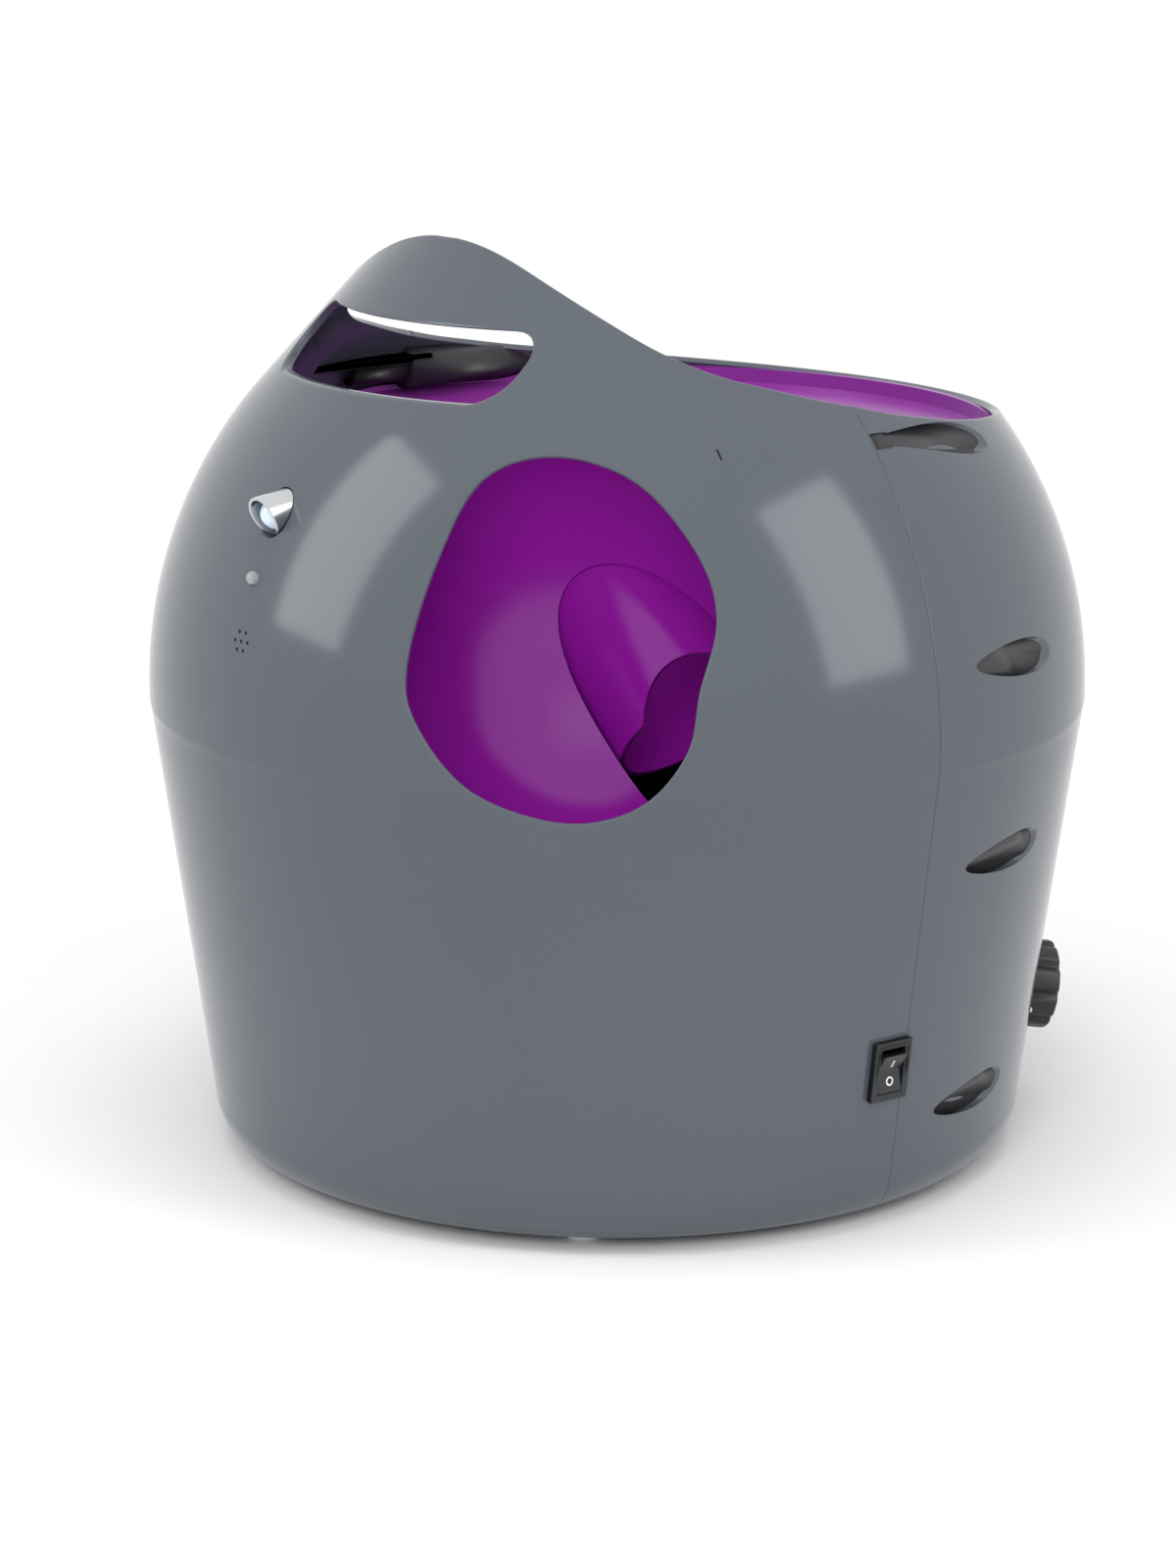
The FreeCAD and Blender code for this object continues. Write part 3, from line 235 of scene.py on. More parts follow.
class NodeKit:
    """Adds nodes to one node tree."""

    def __init__(self, tree: bpy.types.NodeTree) -> None:
        """Start from an empty tree."""
        self.tree = tree
        tree.nodes.clear()

    def add(self, kind: str, settings: dict | None = None, inputs: dict | None = None,
            output: int | str = 0) -> Socket:
        """Add a node.

        Args:
            kind: Node type.
            settings: Attributes, set first.
            inputs: Values or links by socket name or number.
            output: Which output to return.

        Returns:
            The chosen output.
        """
        node = self.tree.nodes.new(kind)
        for name, value in (settings or {}).items():
            setattr(node, name, value)
        for name, value in (inputs or {}).items():
            if isinstance(value, Socket):
                self.tree.links.new(value.link, node.inputs[name])
            else:
                node.inputs[name].default_value = value
        return Socket(self, node.outputs[output] if len(node.outputs) else node)


@dataclass(frozen=True)
class Finish:
    """Moulded or metal surface with a fine grain and a slow change of tone."""

    name: str
    colour: tuple[float, float, float]
    roughness: float = 0.4
    metallic: float = 0.0
    grain: float = 0.08          # millimetres of bump
    grain_scale: float = 900.0   # per metre
    tone_scale: float = 14.0     # per metre
    tone: float = 0.08           # share by which the colour wanders
    coat: float = 0.0
    alpha: float = 1.0
    transmission: float = 0.0

    def material(self) -> bpy.types.Material:
        """Build the node material."""
        found = bpy.data.materials.get(self.name)
        if found:
            return found
        material = bpy.data.materials.new(self.name)
        material.use_nodes = True
        kit = NodeKit(material.node_tree)
        place_at = kit.add("ShaderNodeTexCoord", output="Object")
        slow = kit.add("ShaderNodeTexNoise", None,
                       {"Vector": place_at, "Scale": self.tone_scale, "Detail": 3.0})
        fine = kit.add("ShaderNodeTexNoise", None,
                       {"Vector": place_at, "Scale": self.grain_scale, "Detail": 2.0})
        dark = tuple(c * (1 - self.tone) for c in self.colour) + (1.0,)
        light = tuple(min(1.0, c * (1 + self.tone)) for c in self.colour) + (1.0,)
        colour = kit.add("ShaderNodeMix", {"data_type": "RGBA"}, {0: slow, 6: dark, 7: light}, 2)
        rough = slow * (0.25 * self.roughness) + 0.875 * self.roughness
        bump = kit.add("ShaderNodeBump", None,
                       {"Height": fine, "Strength": 0.25, "Distance": self.grain * MM})
        values = {"Base Color": colour, "Roughness": rough, "Metallic": self.metallic,
                  "Normal": bump, "Coat Weight": self.coat, "Coat Roughness": 0.05,
                  "Alpha": self.alpha, "Transmission Weight": self.transmission}
        shader = kit.add("ShaderNodeBsdfPrincipled", None, values)
        kit.add("ShaderNodeOutputMaterial", None, {"Surface": shader})
        material.diffuse_color = tuple(self.colour) + (1.0,)
        return material


GREY = Finish("grey_gloss", (0.074, 0.086, 0.104), 0.13, grain=0.012, grain_scale=260.0, tone=0.03)
# painted shade: the shell's grey plastic darkened almost to black for the posts and sleeves that
# stand inside the casing
GREY_PAINTED_SHADE = Finish("grey_painted_shade", (0.020, 0.018, 0.022), 0.38, grain=0.03, tone=0.1)
PURPLE = Finish("purple_gloss", (0.330, 0.010, 0.390), 0.18, grain=0.012, grain_scale=260.0,
                tone=0.05)
FUNNEL = Finish("purple_bowl", (0.230, 0.030, 0.280), 0.26, grain=0.015, tone=0.05)
BLACK = Finish("black_satin", (0.012, 0.012, 0.013), 0.38, grain=0.05)
SWITCH = Finish("switch_black", (0.016, 0.018, 0.021), 0.30, grain=0.03)
DARK = Finish("grey_satin", (0.10, 0.105, 0.11), 0.45)
GEAR = Finish("gear_white", (0.62, 0.61, 0.57), 0.42)
BRASS = Finish("brass_turned", (0.60, 0.42, 0.17), 0.28, metallic=1.0, grain=0.01)
STEEL = Finish("steel_brushed", (0.52, 0.53, 0.54), 0.33, metallic=1.0, grain=0.01)
SILVER = Finish("silver_plated", (0.62, 0.63, 0.64), 0.20, metallic=1.0, grain=0.006)
LENS = Finish("lens_milky", (0.62, 0.72, 0.82), 0.18, grain=0.04, coat=0.5)
CLEAR = Finish("clear_plastic", (0.86, 0.89, 0.93), 0.10, grain=0.01, transmission=0.75)
RUBBER = Finish("clear_rubber", (0.80, 0.83, 0.86), 0.22, grain=0.02, transmission=0.6)
CELL = Finish("cell_jacket", (0.05, 0.05, 0.055), 0.30)
BOARD = Finish("board_green", (0.012, 0.10, 0.04), 0.35)
CHIP = Finish("chip_black", (0.012, 0.012, 0.012), 0.50)
MARK = Finish("mark_white", (0.86, 0.87, 0.88), 0.45)
SLOT_FINISH = {"grey_shell": GREY, "purple": PURPLE, "black_plastic": BLACK, "grey_plastic": DARK,
               "gear_plastic": GEAR, "brass": BRASS, "steel": STEEL, "silver": SILVER,
               "clear": CLEAR, "clear_rubber": RUBBER, "cell_jacket": CELL,
               "board_green": BOARD, "chip": CHIP}


@dataclass(frozen=True)
class Profile:
    """Turned outline of the casing."""

    body_z: float = 3.0
    bottom_r: float = 127.0
    footing_r: float = 142.6
    footing_z: float = 19.0
    belt_r: float = 162.0
    belt_z: float = 158.0
    dome_r: float = 157.5
    dome_z: float = 164.0
    dome_axis_r: float = 5.0
    slope_z: float = 266.0
    top_slope: float = 0.90
    top_z: float = 326.0
    ledge_in: float = 112.0

    def radius(self, z: Points) -> Points:
        """Outside radius at a height."""
        z = np.asarray(z, float)
        drop = np.clip((self.footing_z - z) / (self.footing_z - self.body_z), 0, 1)
        low = self.bottom_r + (self.footing_r - self.bottom_r) * np.sqrt(1 - drop ** 2)
        share = (z - self.footing_z) / (self.belt_z - self.footing_z)
        cone = self.footing_r + (self.belt_r - self.footing_r) * share
        rise = np.clip(z, self.dome_z, self.slope_z) - self.dome_z
        dome = self.dome_axis_r + np.sqrt(self.dome_r ** 2 - rise ** 2)
        dome = dome - self.top_slope * np.maximum(z - self.slope_z, 0)
        return np.where(z <= self.footing_z, low, np.where(z <= self.belt_z, cone, dome))


class Wall:
    """Outside or inside surface of the casing, by azimuth and length up the profile."""

    SOFTEN = 9               # samples over which a crease's shading is eased
    STEP = 0.4
    ROUND_R = 150.0          # turns radians into millimetres for the flat map

    def __init__(self, profile: Profile, inset: float) -> None:
        """Sample the profile evenly and work out its normals."""
        z = np.linspace(profile.body_z, profile.top_z, 4000)
        r = profile.radius(z)
        r = np.concatenate([[profile.ledge_in], r])
        z = np.concatenate([[profile.body_z], z])
        along = np.concatenate([[0], np.cumsum(np.hypot(np.diff(r), np.diff(z)))])
        self.s = np.arange(0, along[-1], self.STEP)
        r, z = np.interp(self.s, along, r), np.interp(self.s, along, z)
        dr, dz = np.gradient(r), np.gradient(z)
        kernel = np.ones(self.SOFTEN) / self.SOFTEN
        pad = self.SOFTEN // 2
        dr = np.convolve(np.pad(dr, pad, mode="edge"), kernel, "valid")
        dz = np.convolve(np.pad(dz, pad, mode="edge"), kernel, "valid")
        size = np.hypot(dr, dz)
        self.nr, self.nz = dz / size, -dr / size
        self.r, self.z = r - inset * self.nr, z - inset * self.nz
        self.up = np.maximum.accumulate(self.z)

    def point(self, a: Points, s: Points) -> Points:
        """Places on the surface."""
        r, z = np.interp(s, self.s, self.r), np.interp(s, self.s, self.z)
        return np.stack([r * np.sin(a), -r * np.cos(a), z], -1)

    def normal(self, a: Points, s: Points) -> Points:
        """Outward normals."""
        nr, nz = np.interp(s, self.s, self.nr), np.interp(s, self.s, self.nz)
        return unit(np.stack([nr * np.sin(a), -nr * np.cos(a), nz], -1))

    def axes(self, a: Points, s: Points) -> tuple[Points, Points]:
        """Unit vectors round the casing and up its profile."""
        nr, nz = np.interp(s, self.s, self.nr), np.interp(s, self.s, self.nz)
        round_way = np.stack([np.cos(a), np.sin(a), np.zeros_like(a)], -1)
        up_way = np.stack([-nz * np.sin(a), nz * np.cos(a), nr], -1)
        return round_way, up_way

    def length_at(self, z: Points) -> Points:
        """Length up the profile at a height."""
        return np.interp(z, self.up + np.arange(len(self.up)) * 1e-9, self.s)

    def outside(self, p: Points) -> Points:
        """Distance beyond the surface, measured level."""
        return np.hypot(p[..., 0], p[..., 1]) - np.interp(p[..., 2], self.up, self.r)

    def hit(self, start: Points, way: Points, reach: float) -> Points:
        """Where lines first cross the surface from outside to inside, by bisection."""
        low, high = np.zeros(len(start)), np.full(len(start), reach)
        for _ in range(40):
            middle = 0.5 * (low + high)
            out = self.outside(start + way * middle[:, None]) > 0
            low, high = np.where(out, middle, low), np.where(out, high, middle)
        return start + way * (0.5 * (low + high))[:, None]

    def place_of(self, p: Points, rear: bool) -> tuple[Points, Points]:
        """Azimuth and length up the profile of places on the surface."""
        a = np.arctan2(p[:, 0], -p[:, 1])
        if rear:
            a = np.where(a < 0, a + 2 * math.pi, a)
        return a, self.length_at(p[:, 2])


@dataclass
class Edge:
    """One rounded edge of a shell: the edge itself and the way through the wall."""

    a: Points
    s: Points
    through: Points | None = None
    outer_round: float | Points = 1.2
    inner_round: float = 0.6
    floor_y: float | None = None


class Shell:
    """Half of the casing: two turned surfaces joined by rounded edges."""

    BEND_STEPS = 5
    OUTER_GAP = 3.4
    INNER_GAP = 6.0
    CLEAR = 0.55         # share of the gap kept clear beside an edge

    def __init__(self, name: str, outer: Wall, inner: Wall, rear: bool) -> None:
        """Name the half and its two surfaces."""
        self.name, self.outer, self.inner, self.rear = name, outer, inner, rear
        self.verts: list[Points] = []
        self.normals: list[Points] = []
        self.faces: list[list[int]] = []

    def put(self, points: Points, normals: Points) -> Points:
        """Store vertices and return their numbers."""
        start = sum(len(v) for v in self.verts)
        self.verts.append(points)
        self.normals.append(normals)
        return np.arange(start, start + len(points))

    def ring(self, low: Points, high: Points) -> None:
        """Join two closed rings of vertices with quads."""
        for i in range(len(low)):
            j = (i + 1) % len(low)
            self.faces.append([low[i], high[i], high[j], low[j]])

    def bend(self, start: Points, corner: Points, end: Points, along: Points, steps: range) -> list:
        """Rings of vertices round a corner, from one tangent point towards the other."""
        rings = []
        for k in steps:
            u = k / self.BEND_STEPS
            p = (1 - u) ** 2 * start + 2 * u * (1 - u) * corner + u * u * end
            d = 2 * (1 - u) * (corner - start) + 2 * u * (end - corner)
            rings.append(self.put(p, unit(np.cross(d, along))))
        return rings

    def edge(self, edge: Edge) -> tuple[tuple, tuple | None]:
        """Sweep one edge from the outside of the wall to the inside.

        Args:
            edge: The edge; the material lies on its left, seen from outside.

        Returns:
            Map places and vertex numbers of the outer loop, and of the inner loop.
        """
        e, n = self.outer.point(edge.a, edge.s), self.outer.normal(edge.a, edge.s)
        t = unit(np.roll(e, -1, axis=0) - np.roll(e, 1, axis=0))
        b = unit(np.cross(n, t))
        round_way, up_way = self.outer.axes(edge.a, edge.s)
        out_r = np.broadcast_to(np.asarray(edge.outer_round, float), (len(e),))
        radius = np.hypot(e[:, 0], e[:, 1])
        oa = edge.a + (b * round_way).sum(1) * out_r / radius
        os_ = edge.s + (b * up_way).sum(1) * out_r
        start = self.outer.point(oa, os_)
        if edge.through is None:
            inner_e, way = self.inner.point(edge.a, edge.s), -n
        else:
            way = np.broadcast_to(edge.through, e.shape)
            inner_e = self.inner.hit(e, way, 14.0) if edge.floor_y is None else e
        rings = [self.put(start, self.outer.normal(oa, os_))]
        turn_at = e + way * out_r[:, None]
        rings += self.bend(start, e, turn_at, t, range(1, self.BEND_STEPS + 1))
        outer_loop = (np.stack([oa, os_], 1), rings[0])
        if edge.floor_y is not None:
            face = unit(np.cross(way, t))
            deep = turn_at.copy()
            deep[:, 1] = edge.floor_y
            rings.append(self.put(deep, face))
            for low, high in zip(rings, rings[1:]):
                self.ring(low, high)
            rim = self.put(deep, np.tile([0, 1.0, 0], (len(deep), 1)))
            hub = self.put(deep.mean(0)[None], np.array([[0, 1.0, 0]]))
            for i in range(len(rim)):
                self.faces.append([rim[i], hub[0], rim[(i + 1) % len(rim)]])
            return outer_loop, None
        ia, is_ = edge.a, edge.s
        if edge.through is not None:
            ia, is_ = self.inner.place_of(inner_e, self.rear)
        round_way, up_way = self.inner.axes(ia, is_)
        radius = np.hypot(inner_e[:, 0], inner_e[:, 1])
        ia2 = ia + (b * round_way).sum(1) * edge.inner_round / radius
        is2 = is_ + (b * up_way).sum(1) * edge.inner_round
        end = self.inner.point(ia2, is2)
        turn_in = inner_e - way * edge.inner_round
        rings += self.bend(turn_in, inner_e, end, t, range(self.BEND_STEPS))
        rings.append(self.put(end, -self.inner.normal(ia2, is2)))
        for low, high in zip(rings, rings[1:]):
            self.ring(low, high)
        return outer_loop, (np.stack([ia2, is2], 1), rings[-1])

    def fill(self, wall: Wall, loops: list[tuple], gap: float, flip: bool) -> None:
        """Cover the surface between its loops with even triangles.

        Args:
            wall: Outside or inside surface.
            loops: The boundary first and then the holes.
            gap: Distance between vertices.
            flip: Whether the faces look inwards.
        """
        flat = [np.stack([m[:, 0] * Wall.ROUND_R, m[:, 1]], 1) for m, _ in loops]
        ids = np.concatenate([numbers for _, numbers in loops])
        rim = np.concatenate(flat)
        low, high = rim.min(0), rim.max(0)
        grid = []
        for row, y in enumerate(np.arange(low[1], high[1], gap * 0.866)):
            x = np.arange(low[0], high[0], gap) + (row % 2) * gap / 2
            grid.append(np.stack([x, np.full_like(x, y)], 1))
        grid = np.concatenate(grid)
        keep = inside_loop(grid, flat[0])
        for hole in flat[1:]:
            keep &= ~inside_loop(grid, hole)
        grid = grid[keep]
        for k in range(0, len(rim), 400):
            part = rim[k:k + 400]
            near = ((grid[:, None, :] - part[None]) ** 2).sum(2).min(1)
            grid = grid[near > (self.CLEAR * gap) ** 2]
        edges, at = [], 0
        for loop in flat:
            n = len(loop)
            edges += [(at + i, at + (i + 1) % n) for i in range(n)]
            at += n
        points = np.concatenate([rim, grid])
        net = delaunay_2d_cdt([Vector(p) for p in points], edges, [], 0, 1e-7)
        coords, _, faces, origin, _, _ = net
        coords = np.array([tuple(c) for c in coords])
        a, s = coords[:, 0] / Wall.ROUND_R, coords[:, 1]
        number = self.put(wall.point(a, s), wall.normal(a, s) * (-1 if flip else 1))
        for k, source in enumerate(origin):
            known = [o for o in source if o < len(rim)]
            if known:
                number[k] = ids[known[0]]
        tri = np.array([f for f in faces if len(f) == 3])
        middle = coords[tri].mean(1)
        good = inside_loop(middle, flat[0])
        for hole in flat[1:]:
            good &= ~inside_loop(middle, hole)
        for f in tri[good]:
            p, q, r = coords[f]
            ccw = (q[0] - p[0]) * (r[1] - p[1]) - (q[1] - p[1]) * (r[0] - p[0]) > 0
            order = [number[i] for i in f]
            self.faces.append(order if ccw != flip else order[::-1])

    def build(self, edges: list[Edge], material: bpy.types.Material) -> bpy.types.Object:
        """Make the mesh from its boundary edge and its holes."""
        loops = [self.edge(e) for e in edges]
        self.fill(self.outer, [o for o, _ in loops], self.OUTER_GAP, False)
        self.fill(self.inner, [i for _, i in loops if i is not None], self.INNER_GAP, True)
        verts, normals = np.concatenate(self.verts), np.concatenate(self.normals)
        used = np.unique(np.concatenate([np.array(f) for f in self.faces]))
        renumber = np.full(len(verts), -1)
        renumber[used] = np.arange(len(used))
        faces = [[renumber[i] for i in f] for f in self.faces]
        return new_object(self.name, verts[used], faces, material, normals[used])


def inside_loop(points: Points, loop: Points) -> Points:
    """Whether points lie inside a closed loop on the flat map."""
    x, y = points[:, 0], points[:, 1]
    inside = np.zeros(len(points), bool)
    for (ax, ay), (bx, by) in zip(loop, np.roll(loop, -1, axis=0)):
        if ay == by:
            continue
        crosses = (ay > y) != (by > y)
        inside ^= crosses & (x < (bx - ax) * (y - ay) / (by - ay) + ax)
    return inside


@dataclass
class Casing:
    """The two half shells with their openings, bosses and screw pockets."""

    profile: Profile = field(default_factory=Profile)
    wall: float = 3.0
    rim_curve: tuple = ((190, 254), (131, 256), (61, 262.5), (25, 268), (0, 273), (-22, 279),
                        (-40, 284.5), (-53, 291.5), (-62, 300.5), (-69, 311), (-73.5, 323))
    slot_width: float = 117.0
    slot_low: float = 275.5
    slot_high: float = 297.0
    slot_corner: float = 9.5
    open_at: tuple = (102.6, -104.7, 205.7)
    open_azimuth: float = 43.2
    open_elevation: float = 17.7
    open_outline: tuple = ((-7, 59.4), (-29.6, 51.7), (-42.4, 25.7), (-51.1, -7.1), (-48, -25.9),
                           (-29.7, -46.9), (-0.3, -55.8), (23.6, -50.1), (37.9, -33.5), (41.6, -14),
                           (46, 8.8), (39, 29.4), (19, 51.4))
    pocket_r: float = 6.0
    pocket_wall: float = 2.2
    pocket_inset: float = 7.2
    pocket_floor: float = 8.0
    pocket_z: tuple = (259.0, 190.0, 124.0, 38.0)
    boss_r: float = 5.0
    boss_length: float = 24.0
    post_margin: float = 2.4
    sleeve_margin: float = 0.8
    seam_round: float = 0.45
    rim_round: float = 1.3
    rim_steps: int = 24
    rim_search: tuple = (235.0, 325.0)   # heights between which the rim lies
    start_y: float = -190.0              # where outlines set off towards the front wall

    def __post_init__(self) -> None:
        """Prepare the two surfaces and the rim's side view."""
        self.outer = Wall(self.profile, 0.0)
        self.inner = Wall(self.profile, self.wall)
        knots = np.array(self.rim_curve, float)
        ends = np.concatenate([[2 * knots[0] - knots[1]], knots, [2 * knots[-1] - knots[-2]]])
        curve = np.concatenate([spline(ends, self.rim_steps), knots[-1:]])[::-1]
        self.rim_y, self.rim_z = curve[:, 0], curve[:, 1]

    def rim_height(self, y: Points) -> Points:
        """Height of the rim cut at a distance behind the front plane."""
        return np.interp(y, self.rim_y, self.rim_z)

    def rim_at(self, a: Points) -> Points:
        """Length up the profile at which the rim lies, by azimuth."""
        low, high = (self.outer.length_at(np.full(len(a), z)) for z in self.rim_search)
        for _ in range(40):
            middle = 0.5 * (low + high)
            p = self.outer.point(a, middle)
            above = p[:, 2] > self.rim_height(p[:, 1])
            low, high = np.where(above, low, middle), np.where(above, middle, high)
        return 0.5 * (low + high)

    def boundary(self, rear: bool) -> Edge:
        """Outline of one half: ledge, seam, rim and the other seam."""
        a0, a1 = (math.pi / 2, 3 * math.pi / 2) if rear else (-math.pi / 2, math.pi / 2)
        round_a = np.linspace(a0, a1, 130, endpoint=False)
        rim_a = np.linspace(a1, a0, 170, endpoint=False)
        rim_s = self.rim_at(rim_a)
        up = np.linspace(0, self.rim_at(np.array([a1]))[0], 110, endpoint=False)
        down = np.linspace(self.rim_at(np.array([a0]))[0], 0, 110, endpoint=False)
        a = np.concatenate([round_a, np.full(len(up), a1), rim_a, np.full(len(down), a0)])
        s = np.concatenate([np.zeros(len(round_a)), up, rim_s, down])
        size = np.full(len(a), self.seam_round)
        first = len(round_a) + len(up)
        share = np.linspace(0, 1, len(rim_a))
        ease = np.clip(np.minimum(share, 1 - share) * 25, 0, 1)
        size[first:first + len(rim_a)] = self.seam_round + (self.rim_round - self.seam_round) * ease
        return Edge(a, s, None, size, 0.4)

    def cut(self, start: Points, way: Points, rounds: tuple[float, float], rear: bool = False,
            floor_y: float | None = None) -> Edge:
        """Edge where an outline, moved along a direction, meets the casing."""
        p = self.outer.hit(start, np.broadcast_to(way, start.shape), 260.0)
        a, s = self.outer.place_of(p, rear)
        flat = np.stack([a * Wall.ROUND_R, s], 1)
        nxt = np.roll(flat, -1, axis=0)
        if (flat[:, 0] * nxt[:, 1] - nxt[:, 0] * flat[:, 1]).sum() > 0:
            a, s = a[::-1], s[::-1]
        return Edge(a, s, np.asarray(way, float), rounds[0], rounds[1], floor_y)

    def front_holes(self) -> list[Edge]:
        """Opening, handle slot, sensor, lamp, sound and switch holes."""
        outline = closed_spline(list(self.open_outline), 11)
        local = np.stack([outline[:, 0], np.full(len(outline), -60.0), outline[:, 1]], 1)
        frame_at = wall_frame(self.open_azimuth, self.open_elevation, np.array(self.open_at))
        way = -direction(self.open_azimuth, self.open_elevation)
        holes = [self.cut(moved(local, frame_at), way, (1.5, 0.8))]
        tall = self.slot_high - self.slot_low
        slot = round_rectangle(self.slot_width, tall, self.slot_corner, 9, 3.0)
        start = np.stack([slot[:, 0], np.full(len(slot), self.start_y),
                          slot[:, 1] + self.slot_low + tall / 2], 1)
        holes.append(self.cut(start, np.array([0.0, 1.0, 0.0]), (1.7, 1.0)))
        for shape, azimuth, z, elevation, edge in self.small_holes():
            local = np.stack([shape[:, 0], np.full(len(shape), -12.0), shape[:, 1]], 1)
            start = moved(local, on_wall(self.profile, azimuth, z, elevation))
            holes.append(self.cut(start, -direction(azimuth, elevation), (edge, 0.2)))
        return holes

    def small_holes(self) -> list[tuple]:
        """Outline, azimuth, height, tilt and edge radius of each small front hole."""
        rows = [(circle(7.2, 40), 0.0, 238.0, -8.0, 0.6), (circle(2.4, 20), 0.0, 217.6, 20.5, 0.3)]
        sound = [(0.0, 0.0)] + [(3.4 * math.cos(k * math.pi / 3), 3.4 * math.sin(k * math.pi / 3))
                                for k in range(6)]
        rows += [(circle(0.7, 12) + np.array(at), 0.0, 197.5, 12.5, 0.2) for at in sound]
        rows.append((round_rectangle(13.2, 19.2, 0.6, 4, 1.5), 87.2, 58.0, -7.9, 0.2))
        return rows

    def pockets(self) -> list[Edge]:
        """Eight blind screw pockets of the rear shell."""
        edges = []
        for z in self.pocket_z:
            x = float(self.profile.radius(z)) - self.pocket_inset
            for side in (1, -1):
                ring = circle(self.pocket_r, 56)
                start = np.stack([side * x + ring[:, 0], np.full(len(ring), 200.0),
                                  z + ring[:, 1]], 1)
                edges.append(self.cut(start, np.array([0.0, -1.0, 0.0]), (0.5, 0.0), True,
                                      self.pocket_floor))
        return edges

    def posts(self, name: str, radius: float, rear: bool) -> bpy.types.Object:
        """Round posts or pocket sleeves inside one half, trimmed to the wall, in the shell's grey
        darkened as painted shade.
        """
        verts, faces, count = [], [], 40
        for z in self.pocket_z:
            x = float(self.profile.radius(z)) - self.pocket_inset
            for side in (1, -1):
                ring = circle(radius, count)
                px, pz = side * x + ring[:, 0], z + ring[:, 1]
                margin = self.sleeve_margin if rear else self.post_margin
                limit = np.interp(pz, self.outer.up, self.outer.r) - margin
                px = np.clip(px, -limit + 0.2, limit - 0.2)
                reach = np.sqrt(np.maximum(limit ** 2 - px ** 2, 0.0))
                far = np.maximum(reach, 0.5)
                if not rear:
                    far = -np.minimum(np.maximum(reach, 0.4), self.boss_length)
                near = np.full(count, 0.3 if rear else -0.3)
                rim = self.rim_height(far)
                pz2 = np.minimum(pz, rim - 0.8)
                base = len(verts)
                verts += np.stack([px, near, pz], 1).tolist() + np.stack([px, far, pz2], 1).tolist()
                for i in range(count):
                    j = (i + 1) % count
                    quad = [base + i, base + j, base + count + j, base + count + i]
                    faces.append(quad[::-1] if rear else quad)
                faces.append([base + i for i in range(count)][::(1 if rear else -1)])
                faces.append([base + count + i for i in range(count)][::(-1 if rear else 1)])
        # painted shade: the posts and sleeves take the shell grey darkened almost to black
        return new_object(name, np.array(verts), faces, GREY_PAINTED_SHADE.material())

    def make(self) -> None:
        """Build both halves and what stands on their inner faces."""
        front = Shell("front_casing", self.outer, self.inner, False)
        shell = front.build([self.boundary(False)] + self.front_holes(), GREY.material())
        place(shell, Body.CASING, "grey_shell", "front_shell")
        back = Shell("rear_casing", self.outer, self.inner, True)
        shell = back.build([self.boundary(True)] + self.pockets(), GREY.material())
        place(shell, Body.CASING, "grey_shell", "rear_shell")
        place(self.posts("front_screw_posts", self.boss_r, False), Body.CASING, "grey_shell")
        sleeve_r = self.pocket_r + self.pocket_wall
        place(self.posts("rear_pocket_sleeves", sleeve_r, True), Body.CASING, "grey_shell")


def clipped(verts: Points, faces: Points, value: Points) -> tuple[Points, Points]:
    """Triangles kept where a value is positive, with new vertices on its zero line."""
    verts, value = list(verts), list(value)
    made: dict[tuple[int, int], int] = {}

    def crossing(i: int, j: int) -> int:
        """Vertex on an edge where the value is zero."""
        key = (min(i, j), max(i, j))
        if key not in made:
            share = value[i] / (value[i] - value[j])
            made[key] = len(verts)
            verts.append(verts[i] + (verts[j] - verts[i]) * share)
            value.append(0.0)
        return made[key]

    out = []
    for f in faces:
        signs = [value[i] >= 0 for i in f]
        if all(signs):
            out.append(tuple(f))
            continue
        if not any(signs):
            continue
        ring = []
        for k in range(3):
            i, j = f[k], f[(k + 1) % 3]
            if value[i] >= 0:
                ring.append(i)
            if (value[i] >= 0) != (value[j] >= 0):
                ring.append(crossing(i, j))
        for k in range(1, len(ring) - 1):
            out.append((ring[0], ring[k], ring[k + 1]))
    return np.array(verts), np.array(out)


def grid_faces(rows: int, columns: int, closed: bool) -> Points:
    """Triangles of a grid of vertices, closed round its columns if asked."""
    faces = []
    for i in range(rows - 1):
        for j in range(columns if closed else columns - 1):
            k = (j + 1) % columns
            a, b = i * columns + j, i * columns + k
            c, d = b + columns, a + columns
            faces += [(a, b, c), (a, c, d)]
    return np.array(faces)


def line_distance(p: Points, start: Points, way: Points) -> tuple[Points, Points]:
    """Distance of points from a line, and how far along it they lie."""
    along = (p - start) @ way
    return np.linalg.norm(p - start - along[:, None] * way, axis=1), along


